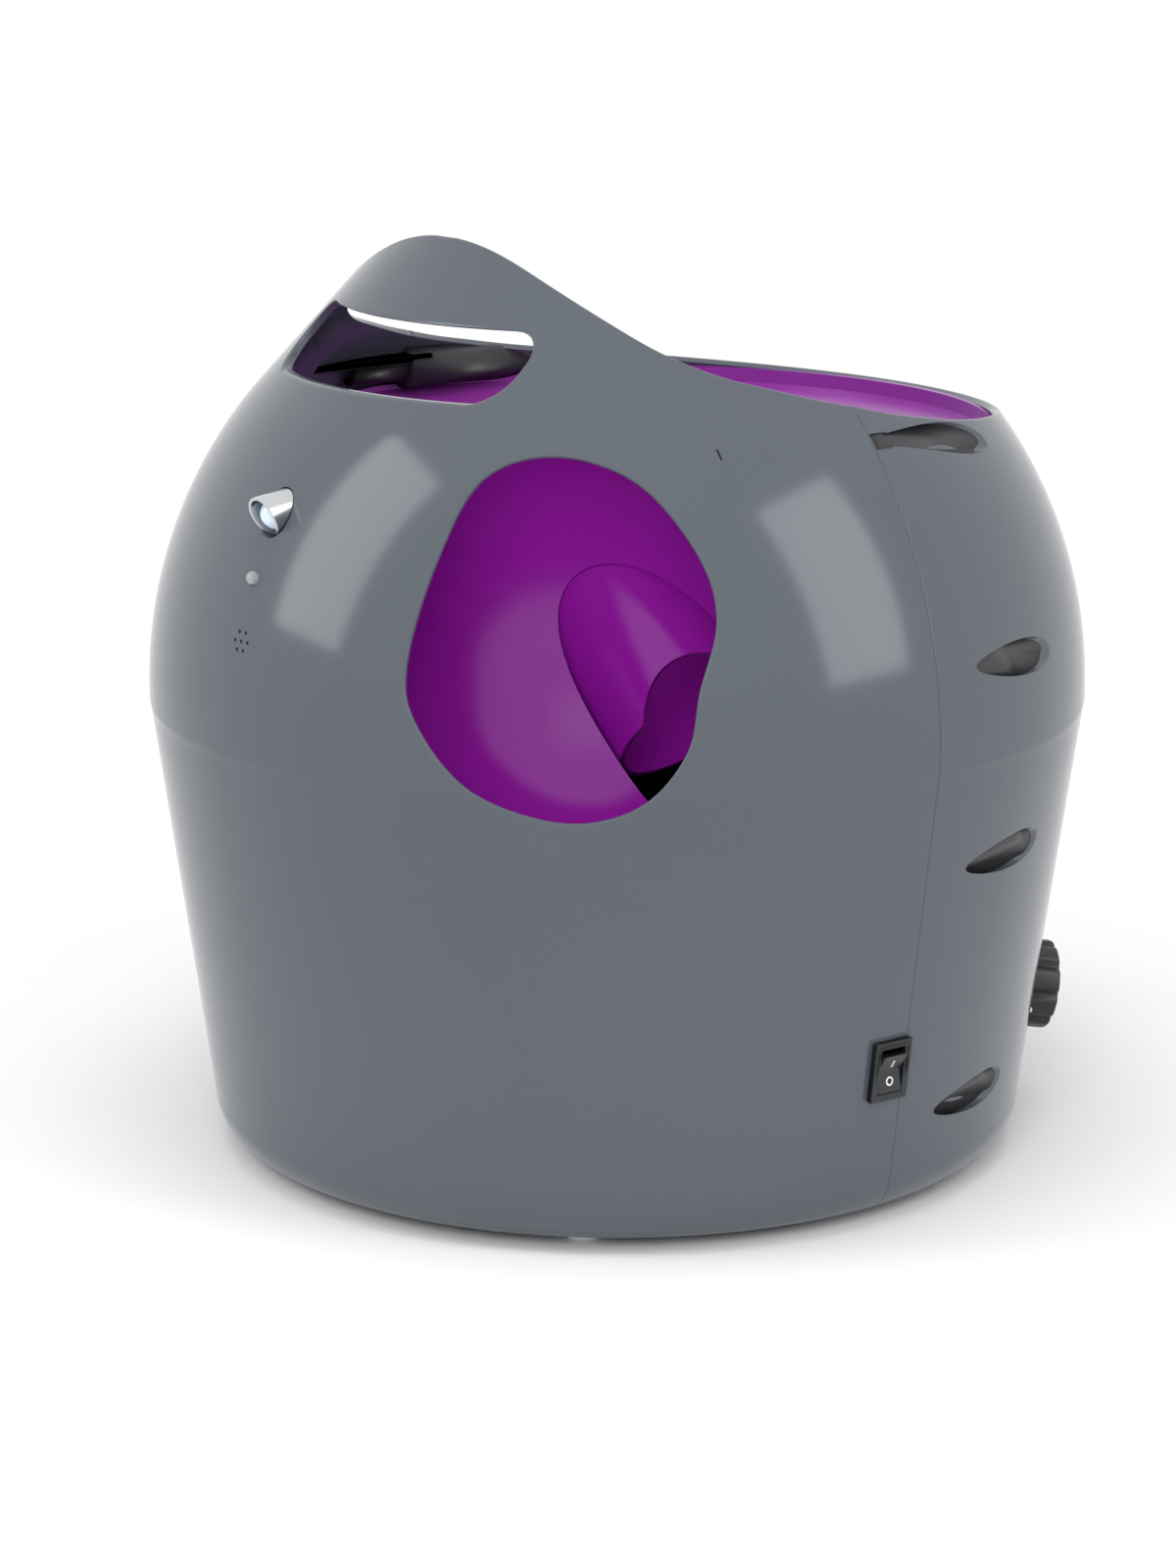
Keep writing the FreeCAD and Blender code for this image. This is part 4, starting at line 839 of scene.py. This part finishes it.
@dataclass
class BallPath:
    """Purple parts that the ball runs through: bowl, chute and chamber."""

    casing: Casing
    chute_r: float = 33.0
    chute_wall: float = 2.0
    chute_azimuth: float = 98.0
    chute_slope: float = 45.0
    chute_mouth: tuple = (62.7, -12.4, 163.4)
    chamber_at: tuple = (79.4, -80.0, 194.9)
    chamber_r: float = 75.0
    chamber_wall: float = 2.0
    chamber_depth: float = 0.72        # the back half is shallower than a ball
    chamber_back_azimuth: float = 223.2
    chamber_back_elevation: float = 5.0
    rim_z: float = 250.0
    rim_r: float = 131.0
    lip: float = 5.0
    low_z: float = 226.0
    low_r: float = 30.0
    bowl_wall: float = 2.5
    ball_seat: tuple = (102.0, -4.0, 124.0)
    launch_angles: tuple = (41.0, 45.0, 49.0)

    def chute_line(self) -> tuple[Points, Points]:
        """Mouth of the chute and the way down it."""
        return np.array(self.chute_mouth), direction(self.chute_azimuth, -self.chute_slope)

    def away_from_paths(self, p: Points, radius: float, reach: float) -> Points:
        """How far points lie outside the ball's flight, at every launch angle."""
        values = []
        for angle in self.launch_angles:
            gap, along = line_distance(p, np.array(self.ball_seat), direction(0, angle))
            values.append(np.maximum(gap - radius, np.maximum(along - reach, -along)))
        return np.minimum.reduce(values)

    def skin(self, name: str, verts: Points, faces: Points, thickness: float,
             finish: Finish) -> bpy.types.Object:
        """Give a clipped sheet its wall and round its edges."""
        used = np.unique(faces)
        renumber = np.full(len(verts), -1)
        renumber[used] = np.arange(len(used))
        obj = new_object(name, verts[used], renumber[faces].tolist(), finish.material())
        merge = obj.modifiers.new("merge", "WELD")
        merge.merge_threshold = 0.05 * MM
        solid = obj.modifiers.new("wall", "SOLIDIFY")
        solid.thickness = thickness * MM
        solid.offset = 1.0
        baked(obj)
        obj.data.set_sharp_from_angle(angle=math.radians(40))
        return obj

    def chamber(self) -> bpy.types.Object:
        """Round bowl behind the opening, with holes for chute and ball."""
        rows, columns = 150, 300
        polar, turn = np.meshgrid(np.linspace(0.0005, math.pi - 0.0005, rows),
                                  np.linspace(0, 2 * math.pi, columns, endpoint=False), indexing="ij")
        ball = np.stack([np.sin(polar) * np.cos(turn), np.sin(polar) * np.sin(turn),
                         np.cos(polar)], -1)
        ball = ball.reshape(-1, 3)
        back = direction(self.chamber_back_azimuth, self.chamber_back_elevation)
        depth = np.maximum(ball @ back, 0.0)[:, None] * back
        bowl = (ball - (1 - self.chamber_depth) * depth) * self.chamber_r
        verts = bowl + np.array(self.chamber_at)
        faces = grid_faces(rows, columns, True)[:, ::-1]
        tests = (lambda p: -self.casing.inner.outside(p) - 0.4,
                 lambda p: line_distance(p, *self.chute_line())[0] - self.chute_r
                 - self.chute_wall - 0.2,
                 lambda p: self.away_from_paths(p, 34.0, 90.0))
        for test in tests:
            verts, faces = clipped(verts, faces, test(verts))
        return self.skin("launch_bowl", verts, faces[:, ::-1], self.chamber_wall, PURPLE)

    def chute(self) -> bpy.types.Object:
        """Sloping tube that ends in the scalloped mouth above the cradle."""
        mouth, way = self.chute_line()
        side = unit(np.cross(way, [0, 0, 1.0]))
        up = np.cross(side, way)
        rows, columns = 90, 200
        along, turn = np.meshgrid(np.linspace(-120, 0, rows),
                                  np.linspace(0, 2 * math.pi, columns, endpoint=False), indexing="ij")
        spoke = np.cos(turn)[..., None] * side + np.sin(turn)[..., None] * up
        verts = (mouth + along[..., None] * way + self.chute_r * spoke).reshape(-1, 3)
        faces = grid_faces(rows, columns, True)
        tests = (lambda p: -self.casing.inner.outside(p) - 0.4,
                 lambda p: self.away_from_paths(p, 33.0, 160.0),
                 self.under_bowl)
        for test in tests:
            verts, faces = clipped(verts, faces, test(verts))
        return self.skin("feed_tube", verts, faces[:, ::-1], self.chute_wall, PURPLE)

    def bowl_centre(self, z: Points) -> tuple[Points, Points]:
        """Centre and radius of the bowl's level circle at a height."""
        mouth, way = self.chute_line()
        low = mouth + way * ((self.low_z - mouth[2]) / way[2])
        share = np.clip((z - self.low_z) / (self.rim_z - self.low_z), 0, 1)
        centre = low[None, :2] * (1 - share)[:, None]
        return centre, self.low_r + (self.rim_r - self.bowl_wall - self.low_r) * share

    def under_bowl(self, p: Points) -> Points:
        """Positive below and outside the bowl."""
        centre, radius = self.bowl_centre(p[:, 2])
        beside = np.linalg.norm(p[:, :2] - centre, axis=1) - radius - self.bowl_wall
        return np.maximum(beside, self.low_z - self.bowl_wall - p[:, 2])

    def bowl(self) -> bpy.types.Object:
        """Sloping hopper bowl with its upright lip."""
        heights = np.concatenate([np.linspace(self.low_z, self.rim_z, 50),
                                  np.linspace(self.rim_z + 0.8, self.rim_z + self.lip, 5)])
        columns = 240
        turn = np.linspace(0, 2 * math.pi, columns, endpoint=False)
        centre, radius = self.bowl_centre(heights)
        x = centre[:, :1] + radius[:, None] * np.cos(turn)
        y = centre[:, 1:] + radius[:, None] * np.sin(turn)
        verts = np.stack([x, y, np.repeat(heights[:, None], columns, 1)], -1).reshape(-1, 3)
        faces = grid_faces(len(heights), columns, True)
        x0 = float(self.casing.profile.radius(self.casing.pocket_z[0])) - self.casing.pocket_inset
        sleeve = self.casing.pocket_r + self.casing.pocket_wall + 0.4

        def beside_sleeves(p: Points) -> Points:
            """Distance outside the two top pocket sleeves."""
            return np.hypot(np.abs(p[:, 0]) - x0, p[:, 2] - self.casing.pocket_z[0]) - sleeve

        tests = (lambda p: np.linalg.norm(p - np.array(self.chamber_at), axis=1)
                 - self.chamber_r - self.chamber_wall - 0.4,
                 lambda p: line_distance(p, *self.chute_line())[0] - self.chute_r,
                 lambda p: -self.casing.inner.outside(p) - 0.4,
                 beside_sleeves)
        for test in tests:
            verts, faces = clipped(verts, faces, test(verts))
        return self.skin("hopper_bowl", verts, faces, self.bowl_wall, FUNNEL)

    def make(self) -> None:
        """Build the three purple pieces."""
        place(self.chamber(), Body.CASING, "purple", "launch_chamber")
        place(self.chute(), Body.CASING, "purple", "feed_chute")
        place(self.bowl(), Body.CASING, "purple", "hopper_funnel")


def turned(name: str, outline: list[tuple[float, float]], count: int, matrix: Matrix,
           finish: Finish, radius_of=None) -> bpy.types.Object:
    """Turn an outline of (radius, depth) about the -Y axis of a wall frame.

    Args:
        name: Piece name.
        outline: Radius and distance out of the wall, from one end to the other.
        count: Steps round.
        matrix: Wall frame in millimetres.
        finish: Its finish.
        radius_of: Changes a radius by angle and depth, where the piece isn't round.

    Returns:
        The object.
    """
    turn = np.linspace(0, 2 * math.pi, count, endpoint=False)
    rows = []
    for r, out in outline:
        radius = radius_of(r, out, turn) if radius_of else np.full(count, r)
        rows.append(np.stack([radius * np.cos(turn), np.full(count, -out),
                              radius * np.sin(turn)], 1))
    verts = moved(np.concatenate(rows), matrix)
    obj = new_object(name, verts, grid_faces(len(rows), count, True).tolist(), finish.material())
    obj.data.set_sharp_from_angle(angle=math.radians(35))
    return obj


@dataclass
class FrontSensor:
    """Motion sensor in its silver hood; the lamp under it is not built here."""

    casing: Casing
    height: float = 238.0
    tilt: float = -8.0
    hood_r: float = 7.0
    hood_wall: float = 1.1
    hood_reach: float = 7.0
    lower_reach: float = 1.6
    lens_r: float = 5.7

    def matrix(self) -> Matrix:
        """Wall frame of the sensor."""
        return on_wall(self.casing.profile, 0.0, self.height, self.tilt)

    def make(self) -> None:
        """Build hood and lens."""
        reach, low = self.hood_reach, self.lower_reach

        def sloped(points: Points) -> Points:
            """Shorten the hood towards its lower side."""
            share = np.clip((points[:, 2] / self.hood_r + 1) / 2, 0, 1)
            out = -points[:, 1]
            limit = low + (reach - low) * np.sqrt(share)
            new = np.where(out > 0, np.minimum(out, limit - (reach - out) * 0.15), out)
            return np.stack([points[:, 0], -new, points[:, 2]], 1)

        inner = self.hood_r - self.hood_wall
        outline = [(self.hood_r, -7.0), (self.hood_r, 0.0), (self.hood_r, reach - 0.6),
                   (self.hood_r - 0.15, reach - 0.2), (self.hood_r - 0.45, reach),
                   (inner + 0.2, reach), (inner, reach - 0.3), (inner, 0.0), (inner, -7.0)]
        turn = np.linspace(0, 2 * math.pi, 72, endpoint=False)
        rows = [np.stack([r * np.cos(turn), np.full(72, -out), r * np.sin(turn)], 1)
                for r, out in outline]
        verts = moved(sloped(np.concatenate(rows)), self.matrix())
        faces = grid_faces(len(rows), 72, True)[:, ::-1].tolist()
        hood = new_object("sensor_silver_hood", verts, faces, SILVER.material())
        hood.data.set_sharp_from_angle(angle=math.radians(45))
        place(hood, Body.CASING, "silver", "sensor_hood")
        steps = np.linspace(0.001, math.pi / 2, 16)
        dome = [(self.lens_r * math.sin(t), -1.6 + 7.0 * math.cos(t)) for t in steps]
        dome += [(self.lens_r, -5.0)]

        def facets(r: float, out: float, turn: Points) -> Points:
            """Fine lens segments round the dome."""
            return r * (1 + 0.012 * np.cos(turn * 12))

        lens = turned("sensor_dome_lens", dome, 96, self.matrix(), LENS, facets)
        place(lens, Body.CASING, "clear", "sensor_lens")


@dataclass
class PowerSwitch:
    """Rocker switch with its frame and the I and O marks."""

    casing: Casing
    azimuth: float = 87.2
    height: float = 58.0
    tilt: float = -7.945
    width: float = 13.0
    tall: float = 19.0
    lip: float = 1.0
    rim: float = 1.2
    wall: float = 1.4
    pin_y: float = 2.0
    lift: float = 3.4
    throw: float = 14.0

    def matrix(self) -> Matrix:
        """Wall frame of the switch."""
        return on_wall(self.casing.profile, self.azimuth, self.height, self.tilt)

    def bezel(self) -> bpy.types.Object:
        """Rounded frame with its well."""
        half_w, half_h = self.width / 2 + self.lip, self.tall / 2 + self.lip
        out_front = self.rim + self.lip
        well_w, well_h = self.width / 2 - self.wall, self.tall / 2 - self.wall
        sizes = [(half_w, half_h, -0.1), (half_w, half_h, out_front - 0.6),
                 (half_w - 0.25, half_h - 0.25, out_front - 0.15),
                 (half_w - 0.7, half_h - 0.7, out_front),
                 (well_w + 0.5, well_h + 0.5, out_front),
                 (well_w + 0.1, well_h + 0.1, out_front - 0.3),
                 (well_w, well_h, out_front - 0.8), (well_w, well_h, -8.5)]
        rows = []
        for w, h, out in sizes:
            ring = round_rectangle(2 * w, 2 * h, 0.9, 6, 50.0)
            rows.append(np.stack([ring[:, 0], np.full(len(ring), -out), ring[:, 1]], 1))
        faces = grid_faces(len(rows), len(rows[0]), True)[:, ::-1].tolist()
        verts = moved(np.concatenate(rows), self.matrix())
        obj = new_object("switch_frame", verts, faces, SWITCH.material())
        obj.data.set_sharp_from_angle(angle=math.radians(50))
        return obj

    def tipped(self, local: Points) -> Points:
        """Local points of the rocker, tipped to its off position and put in place."""
        tip = Matrix.Rotation(math.radians(self.throw / 2), 4, "X")
        tip = Matrix.Translation((0, self.pin_y, 0)) @ tip @ Matrix.Translation((0, -self.pin_y, 0))
        return moved(moved(local, tip), self.matrix())

    def rocker(self) -> bpy.types.Object:
        """Shallow V-shaped rocker with rounded edges."""
        side = self.width / 2 - self.wall - 0.25
        half = self.tall / 2 - self.wall - 1.0
        steps = np.linspace(-1, 1, 21)
        face = [(-1.0 - (self.lift - 1.0) * abs(t) ** 1.15, half * t) for t in steps]
        outline = face + [(self.pin_y + 3.0, 3.5), (self.pin_y + 3.0, -3.5)]
        n = len(outline)
        verts = [(x, y, z) for x in (-side, side) for y, z in outline]
        faces = [list(range(n)), list(range(2 * n - 1, n - 1, -1))]
        faces += [[(i + 1) % n, i, n + i, n + (i + 1) % n] for i in range(n)]
        verts = self.tipped(np.array(verts, float))
        obj = new_object("switch_rocker", verts, faces, SWITCH.material(), smooth=False)
        rounded(obj, 0.35, 3, 25.0)
        return obj

    def surface(self, z: float) -> float:
        """Depth of the rocker's face at a height."""
        half = self.tall / 2 - self.wall - 1.0
        return -1.0 - (self.lift - 1.0) * abs(z / half) ** 1.15 - 0.06

    def marks(self) -> bpy.types.Object:
        """White line for on and ring for off."""
        verts, faces = [], []

        def strip(inner: Points, outer: Points, closed: bool) -> None:
            """Flat band between two lines on the rocker's face."""
            base, n = len(verts), len(inner)
            for x, z in list(inner) + list(outer):
                verts.append((x, self.surface(z), z))
            for i in range(n if closed else n - 1):
                j = (i + 1) % n
                faces.append([base + i, base + j, base + n + j, base + n + i])

        line = np.array([[-0.28, z] for z in np.linspace(1.7, 4.6, 8)])
        strip(line, line + np.array([0.56, 0.0]), False)
        strip(circle(1.0, 40) + np.array([0, -3.4]), circle(1.5, 40) + np.array([0, -3.4]), True)
        obj = new_object("switch_marks", self.tipped(np.array(verts)), faces, MARK.material())
        solid = obj.modifiers.new("ink", "SOLIDIFY")
        solid.thickness = 0.08 * MM
        baked(obj)
        return obj

    def make(self) -> None:
        """Build the switch."""
        place(self.bezel(), Body.CASING, "black_plastic")
        place(self.rocker(), Body.ROCKER, "black_plastic", "power_rocker")
        place(self.marks(), Body.ROCKER, "black_plastic")


@dataclass
class RearControls:
    """Distance dial with its ring of ticks."""

    casing: Casing
    azimuth: float = 150.0
    height: float = 46.0
    tilt: float = -7.945
    radius: float = 16.0
    tall: float = 11.0
    gap: float = 1.2
    flutes: int = 9
    flute_depth: float = 1.5
    settings: int = 9
    sweep: float = 320.0

    def matrix(self) -> Matrix:
        """Wall frame of the dial."""
        return on_wall(self.casing.profile, self.azimuth, self.height, self.tilt)

    def knob(self) -> bpy.types.Object:
        """Fluted knob with a rounded crown."""
        top = self.gap + self.tall
        outline = [(0.01, self.gap), (self.radius - 0.4, self.gap), (self.radius, self.gap + 0.4),
                   (self.radius, top - 1.6)]
        for t in np.linspace(0.2, 1.0, 5) * math.pi / 2:
            outline.append((self.radius - 1.6 * (1 - math.cos(t)), top - 1.6 + 1.6 * math.sin(t)))
        outline += [(self.radius - 4.0, top), (self.radius - 4.6, top - 0.4), (0.01, top - 0.5)]

        def fluted(r: float, out: float, turn: Points) -> Points:
            """Nine finger flutes in the knob's side."""
            share = max(0.0, (r - (self.radius - 4.0)) / 4.0)
            wave = np.clip(np.cos(turn * self.flutes - math.pi), 0, 1) ** 2
            return r - self.flute_depth * share * wave

        return turned("dial_knob", outline[::-1], 180, self.matrix(), BLACK, fluted)

    def pointer(self) -> bpy.types.Object:
        """White line that shows the setting."""
        top = self.gap + self.tall
        low, high = (-0.8, -top - 0.05, 5.0), (0.8, -top + 0.6, self.radius - 4.8)
        return block("dial_pointer", low, high, self.matrix(), MARK)

    def ticks(self) -> bpy.types.Object:
        """Raised tick for each distance setting, copied round the dial."""
        tick = block("tick_pattern", (20.0, -0.6, -0.6), (24.0, 0.6, 0.5), Matrix.Identity(4), MARK)
        return ring_of_copies("dial_ticks", tick, self.settings, self.sweep, 110.0, MARK,
                              self.matrix() @ Matrix.Rotation(math.radians(90), 4, "X"))

    def make(self) -> None:
        """Build the dial."""
        place(self.knob(), Body.DIAL, "black_plastic", "distance_dial")
        place(self.pointer(), Body.DIAL, "black_plastic")
        place(self.ticks(), Body.CASING, "grey_shell")


def block(name: str, low: Points, high: Points, matrix: Matrix, finish: Finish) -> bpy.types.Object:
    """Small bar with rounded edges between two corners, in a wall frame."""
    corners = [(x, y, z) for x in (low[0], high[0]) for y in (low[1], high[1])
               for z in (low[2], high[2])]
    faces = [(0, 1, 3, 2), (4, 6, 7, 5), (0, 4, 5, 1), (2, 3, 7, 6), (0, 2, 6, 4), (1, 5, 7, 3)]
    bar = new_object(name, moved(np.array(corners), matrix), faces, finish.material(), smooth=False)
    rounded(bar, 0.2, 2)
    return bar


def ring_of_copies(name: str, pattern: bpy.types.Object, count: int, sweep: float, start: float,
                   finish: Finish, matrix: Matrix) -> bpy.types.Object:
    """Copy a pattern round a circle with Geometry Nodes, and bake the result.

    Args:
        name: Piece name.
        pattern: Object that is copied, and removed afterwards.
        count: Number of copies.
        sweep: Angle from the first copy to the last, in degrees.
        start: Angle of the first copy, in degrees.
        finish: Finish of the copies.
        matrix: Frame in millimetres that the circle's plane is put into.

    Returns:
        The baked object.
    """
    tree = bpy.data.node_groups.new(name + "_copies", "GeometryNodeTree")
    face = tree.interface
    face.new_socket("Geometry", in_out="INPUT", socket_type="NodeSocketGeometry")
    kinds = {"Pattern": "NodeSocketObject", "Count": "NodeSocketInt", "Step": "NodeSocketFloat",
             "Start": "NodeSocketFloat", "Finish": "NodeSocketMaterial"}
    ids = {key: face.new_socket(key, in_out="INPUT", socket_type=kind).identifier
           for key, kind in kinds.items()}
    face.new_socket("Geometry", in_out="OUTPUT", socket_type="NodeSocketGeometry")
    kit = NodeKit(tree)
    group = tree.nodes.new("NodeGroupInput")
    given = {key: Socket(kit, group.outputs[key]) for key in kinds}
    points = kit.add("GeometryNodePoints", None, {"Count": given["Count"]})
    number = kit.add("GeometryNodeInputIndex")
    turn = given["Start"] + number * given["Step"]
    spin = kit.add("ShaderNodeCombineXYZ", None, {"Z": turn})
    shape = kit.add("GeometryNodeObjectInfo", None, {"Object": given["Pattern"]}, "Geometry")
    copies = kit.add("GeometryNodeInstanceOnPoints", None,
                     {"Points": points, "Instance": shape, "Rotation": spin})
    real = kit.add("GeometryNodeRealizeInstances", None, {"Geometry": copies})
    dressed = kit.add("GeometryNodeSetMaterial", None,
                      {"Geometry": real, "Material": given["Finish"]})
    kit.add("NodeGroupOutput", None, {"Geometry": dressed})
    obj = new_object(name, np.zeros((1, 3)), [], finish.material())
    modifier = obj.modifiers.new("copies", "NODES")
    modifier.node_group = tree
    modifier[ids["Pattern"]] = pattern
    modifier[ids["Count"]] = count
    modifier[ids["Step"]] = math.radians(sweep / max(1, count - 1))
    modifier[ids["Start"]] = math.radians(start)
    modifier[ids["Finish"]] = finish.material()
    baked(obj)
    bpy.data.objects.remove(pattern)
    scale = Matrix.Scale(MM, 4)
    obj.data.transform(scale @ matrix @ scale.inverted())
    return obj


@dataclass
class Feet:
    """Four clear bumper feet."""

    radius: float = 6.5
    ring_r: float = 119.0
    height: float = 3.0
    edge: float = 1.2

    def make(self) -> None:
        """Build one domed pad and copy it round the base."""
        steps = np.linspace(0, math.pi / 2, 7)
        flat = self.radius - self.edge
        outline = [(0.01, 0.0), (flat, 0.0)]
        outline += [(flat + self.edge * math.sin(t), self.edge * (1 - math.cos(t)))
                    for t in steps[1:]]
        outline += [(self.radius, self.height - 0.2), (0.01, self.height)]
        upright = Matrix.Rotation(math.radians(-90), 4, "X")
        upright = Matrix.Translation((self.ring_r, 0, 0)) @ upright
        pad = turned("foot_pattern", outline, 48, upright, RUBBER)
        feet = ring_of_copies("clear_feet", pad, 4, 270.0, 45.0, RUBBER, Matrix.Identity(4))
        names = ("foot_right_rear", "foot_left_rear", "foot_left_front", "foot_right_front")
        place(feet, Body.CASING, "clear_rubber", *names)


@dataclass
class Studio:
    """Pale floor, soft lights and the camera."""

    look_down: float = 13.74
    azimuth: float = 50.6
    lens: float = 98.376
    camera_at: tuple = (1.1246, -0.9368, 0.4830)
    fill: float = 0.62
    floor_half: float = 4.0
    paper_from: float = 0.17
    paper_to: float = 0.42

    def camera(self) -> None:
        """Camera at the photograph's angle."""
        data = bpy.data.cameras.new("camera")
        data.lens, data.sensor_width = self.lens, 36.0
        cam = bpy.data.objects.new("camera", data)
        bpy.context.scene.collection.objects.link(cam)
        a, e = math.radians(self.azimuth), math.radians(self.look_down)
        ahead = Vector((-math.sin(a) * math.cos(e), math.cos(a) * math.cos(e), -math.sin(e)))
        cam.location = self.camera_at
        cam.rotation_mode = "QUATERNION"
        cam.rotation_quaternion = ahead.to_track_quat("-Z", "Y")
        bpy.context.scene.camera = cam

    def seen_white(self, kit: NodeKit) -> Socket:
        """1 for rays that show the background, 0 for rays that light the object."""
        path = kit.tree.nodes.new("ShaderNodeLightPath")
        camera, glossy, through = (Socket(kit, path.outputs[f"Is {kind} Ray"])
                                   for kind in ("Camera", "Glossy", "Transmission"))
        total = camera + glossy + through
        return kit.add("ShaderNodeClamp", None, {"Value": total})

    def world(self) -> None:
        """White to look at, softer as a light."""
        world = bpy.data.worlds.new("studio")
        world.use_nodes = True
        kit = NodeKit(world.node_tree)
        strength = self.seen_white(kit) * (1 - self.fill) + self.fill
        back = kit.add("ShaderNodeBackground", None, {"Color": (1, 1, 1, 1), "Strength": strength})
        kit.add("ShaderNodeOutputWorld", None, {"Surface": back})
        bpy.context.scene.world = world

    def floor_material(self) -> bpy.types.Material:
        """Pale paper that keeps the shadow and turns plain white further out."""
        material = bpy.data.materials.new("floor_paper")
        material.use_nodes = True
        kit = NodeKit(material.node_tree)
        place_at = kit.add("ShaderNodeTexCoord", output="Object")
        far = kit.add("ShaderNodeVectorMath", {"operation": "LENGTH"}, {0: place_at}, "Value")
        fade = kit.add("ShaderNodeMapRange", {"interpolation_type": "SMOOTHSTEP"},
                       {"Value": far, "From Min": self.paper_from, "From Max": self.paper_to})
        paper = kit.add("ShaderNodeBsdfPrincipled", None,
                        {"Base Color": (0.93, 0.93, 0.935, 1.0), "Roughness": 0.8,
                         "Specular IOR Level": 0.2})
        white = kit.add("ShaderNodeEmission", None, {"Color": (1, 1, 1, 1), "Strength": 1.0})
        share = fade * self.seen_white(kit)
        shown = kit.add("ShaderNodeMixShader", None, {0: share, 1: paper, 2: white})
        kit.add("ShaderNodeOutputMaterial", None, {"Surface": shown})
        return material

    def floor(self) -> None:
        """Pale level floor."""
        n = self.floor_half / MM
        corners = np.array([(-n, -n, 0), (n, -n, 0), (n, n, 0), (-n, n, 0)])
        floor = new_object("floor", corners, [(0, 1, 2, 3)], self.floor_material(), smooth=False)

    def lamp(self, name: str, at: tuple, size: tuple, power: float, aim: tuple,
             shines: bool = True) -> None:
        """One rectangular softbox, mirrored in the gloss or not."""
        data = bpy.data.lights.new(name, "AREA")
        data.shape = "RECTANGLE"
        data.size, data.size_y = size
        data.energy = power
        lamp = bpy.data.objects.new(name, data)
        bpy.context.scene.collection.objects.link(lamp)
        lamp.location = at
        lamp.rotation_mode = "QUATERNION"
        lamp.rotation_quaternion = (Vector(aim) - Vector(at)).to_track_quat("-Z", "Y")
        lamp.visible_glossy = shines

    def make(self) -> None:
        """Set the stage."""
        bpy.context.scene.view_settings.view_transform = "Standard"
        self.camera()
        self.world()
        self.floor()
        middle = (0.0, 0.0, 0.16)
        tall, power = (0.7, 1.3), 9.0
        self.lamp("left_softbox", (-0.75, -1.35, 1.05), tall, power, middle)
        self.lamp("right_softbox", (1.45, 0.55, 0.95), tall, power, middle)
        self.lamp("top_softbox", (0.25, -0.25, 1.7), (1.1, 1.1), power, middle, False)
        self.lamp("front_fill", (1.0, -1.05, 0.75), (0.6, 0.6), 8.0, middle, False)


def dress_nodes() -> None:
    """Give every node of the frame the finish of its slot."""
    slots = {row["node"]: row["material_slot"] for row in frame["record"]["subparts"]}
    for name, obj in frame["nodes"].items():
        finish = SLOT_FINISH[slots[name]]
        obj.data.materials.clear()
        obj.data.materials.append(finish.material())


def main() -> None:
    """Build every piece of the launcher and the studio round it."""
    logging.basicConfig(level=logging.INFO, format="%(name)s %(message)s")
    Studio().make()
    dress_nodes()
    casing = Casing()
    casing.make()
    BallPath(casing).make()
    FrontSensor(casing).make()
    PowerSwitch(casing).make()
    RearControls(casing).make()
    Feet().make()
    bpy.context.view_layer.update()


if __name__ == "__main__":
    main()
